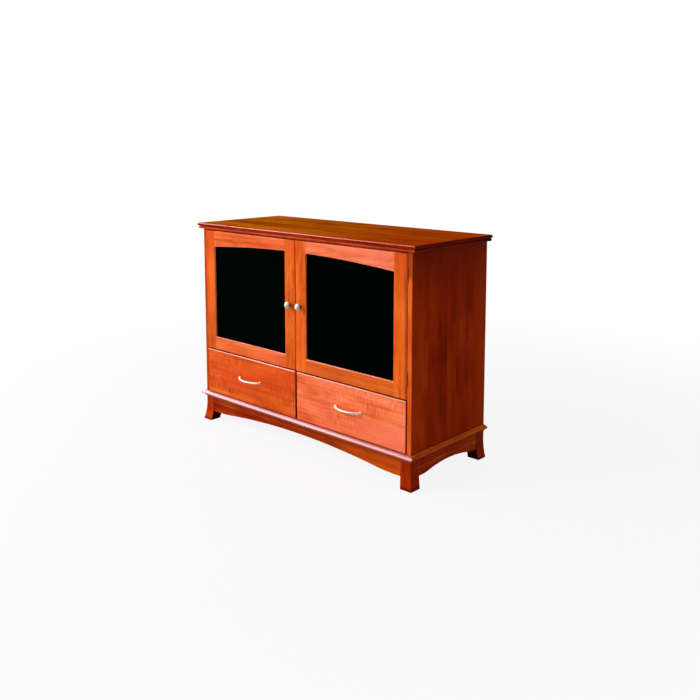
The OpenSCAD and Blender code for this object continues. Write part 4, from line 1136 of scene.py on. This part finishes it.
studio = {"fill": 0.36, "ceiling": 0.12, "ceilingStep": (0.16, 0.34), "aim": (0, 0, 0.45),
          "lamp": {"place": (-4.4, -4.7, 3.7), "size": (3.7, 2.9), "power": 447.0},
          "strip": {"place": (-2.9, -0.9, 3.2), "size": (4.2, 2.2), "power": 760.0},
          "stripColour": (1.0, 0.76, 0.86),
          "floorHalf": 40, "floorGlow": 0.88, "floorFar": (1.2, 3.2), "paper": (0.9, 0.9, 0.9, 1)}


def makeWorld(sizes):
    # white to the camera, an even fill on the object, and a dim ceiling in what is glossy
    world = bpy.data.worlds.new("studio")
    world.use_nodes = True
    world.node_tree.nodes.clear()
    bench = Bench(world.node_tree)
    rays = bench.node("ShaderNodeLightPath", out="Is Camera Ray")
    seen = rays.most(rays.out("Is Transmission Ray"))
    mirror = rays.out("Is Glossy Ray")
    up = bench.node("ShaderNodeTexCoord", out="Generated").split()[2]
    dim = 1 - up.step(*sizes["ceilingStep"]) * (1 - sizes["ceiling"])
    level = seen + (1 - seen) * (mirror * dim + (1 - mirror) * sizes["fill"])
    sky = bench.node("ShaderNodeBackground", {}, {"Color": (1, 1, 1, 1), "Strength": level})
    bench.end("ShaderNodeOutputWorld", sky)
    scene.world = world


def makeFloor(sizes):
    # pale paper that keeps the shadow near the stand and fades to white further out
    half = sizes["floorHalf"]
    mesh = bpy.data.meshes.new("floor")
    mesh.from_pydata([(-half, -half, 0), (half, -half, 0), (half, half, 0), (-half, half, 0)], [],
                     [(0, 1, 2, 3)])
    floor = holder("floor", mesh)
    material, bench = newMaterial("floorPaper")
    rays = bench.node("ShaderNodeLightPath", out="Is Camera Ray")
    seen = rays.most(rays.out("Is Glossy Ray")).most(rays.out("Is Transmission Ray"))
    far = bench.node("ShaderNodeVectorMath", {"operation": "LENGTH"}, {0: bench.place()}, out="Value")
    paper = bench.node("ShaderNodeBsdfDiffuse", {}, {"Color": sizes["paper"]})
    glow = bench.node("ShaderNodeEmission", {}, {"Color": (1, 1, 1, 1), "Strength": 1.0})
    share = seen * (sizes["floorGlow"] + far.step(*sizes["floorFar"]) * (1 - sizes["floorGlow"]))
    both = bench.node("ShaderNodeMixShader", {}, {0: share, 1: paper, 2: glow})
    bench.end("ShaderNodeOutputMaterial", both)
    mesh.materials.append(material)


def makeLamp(name, sizes):
    lamp = bpy.data.lights.new(name, "AREA")
    lamp.shape = "RECTANGLE"
    lamp.size, lamp.size_y = sizes["size"]
    lamp.energy = sizes["power"]
    piece = holder(name, lamp)
    piece.location = sizes["place"]
    aim = Vector(studio["aim"]) - piece.location
    piece.rotation_euler = aim.to_track_quat("-Z", "Y").to_euler()
    return piece


view = {"place": (2.3725, -2.4521, 1.2484), "turn": 42.902, "down": 6.897, "lens": 42.897, "shift": -0.155}


def makeCamera(sizes):
    camera = bpy.data.cameras.new("camera")
    camera.sensor_width, camera.lens, camera.shift_y = 36, sizes["lens"], sizes["shift"]
    piece = holder("camera", camera)
    piece.location = sizes["place"]
    piece.rotation_euler = (math.radians(90 - sizes["down"]), 0, math.radians(sizes["turn"]))
    scene.camera = piece


makeWorld(studio)
makeFloor(studio)
makeLamp("softbox", studio["lamp"])
strip = makeLamp("strip", studio["strip"])
strip.data.color = studio["stripColour"]
strip.visible_diffuse = False  # it only draws the highlights along the mouldings
makeCamera(view)
scene.view_settings.view_transform = "Standard"
print("studio done")
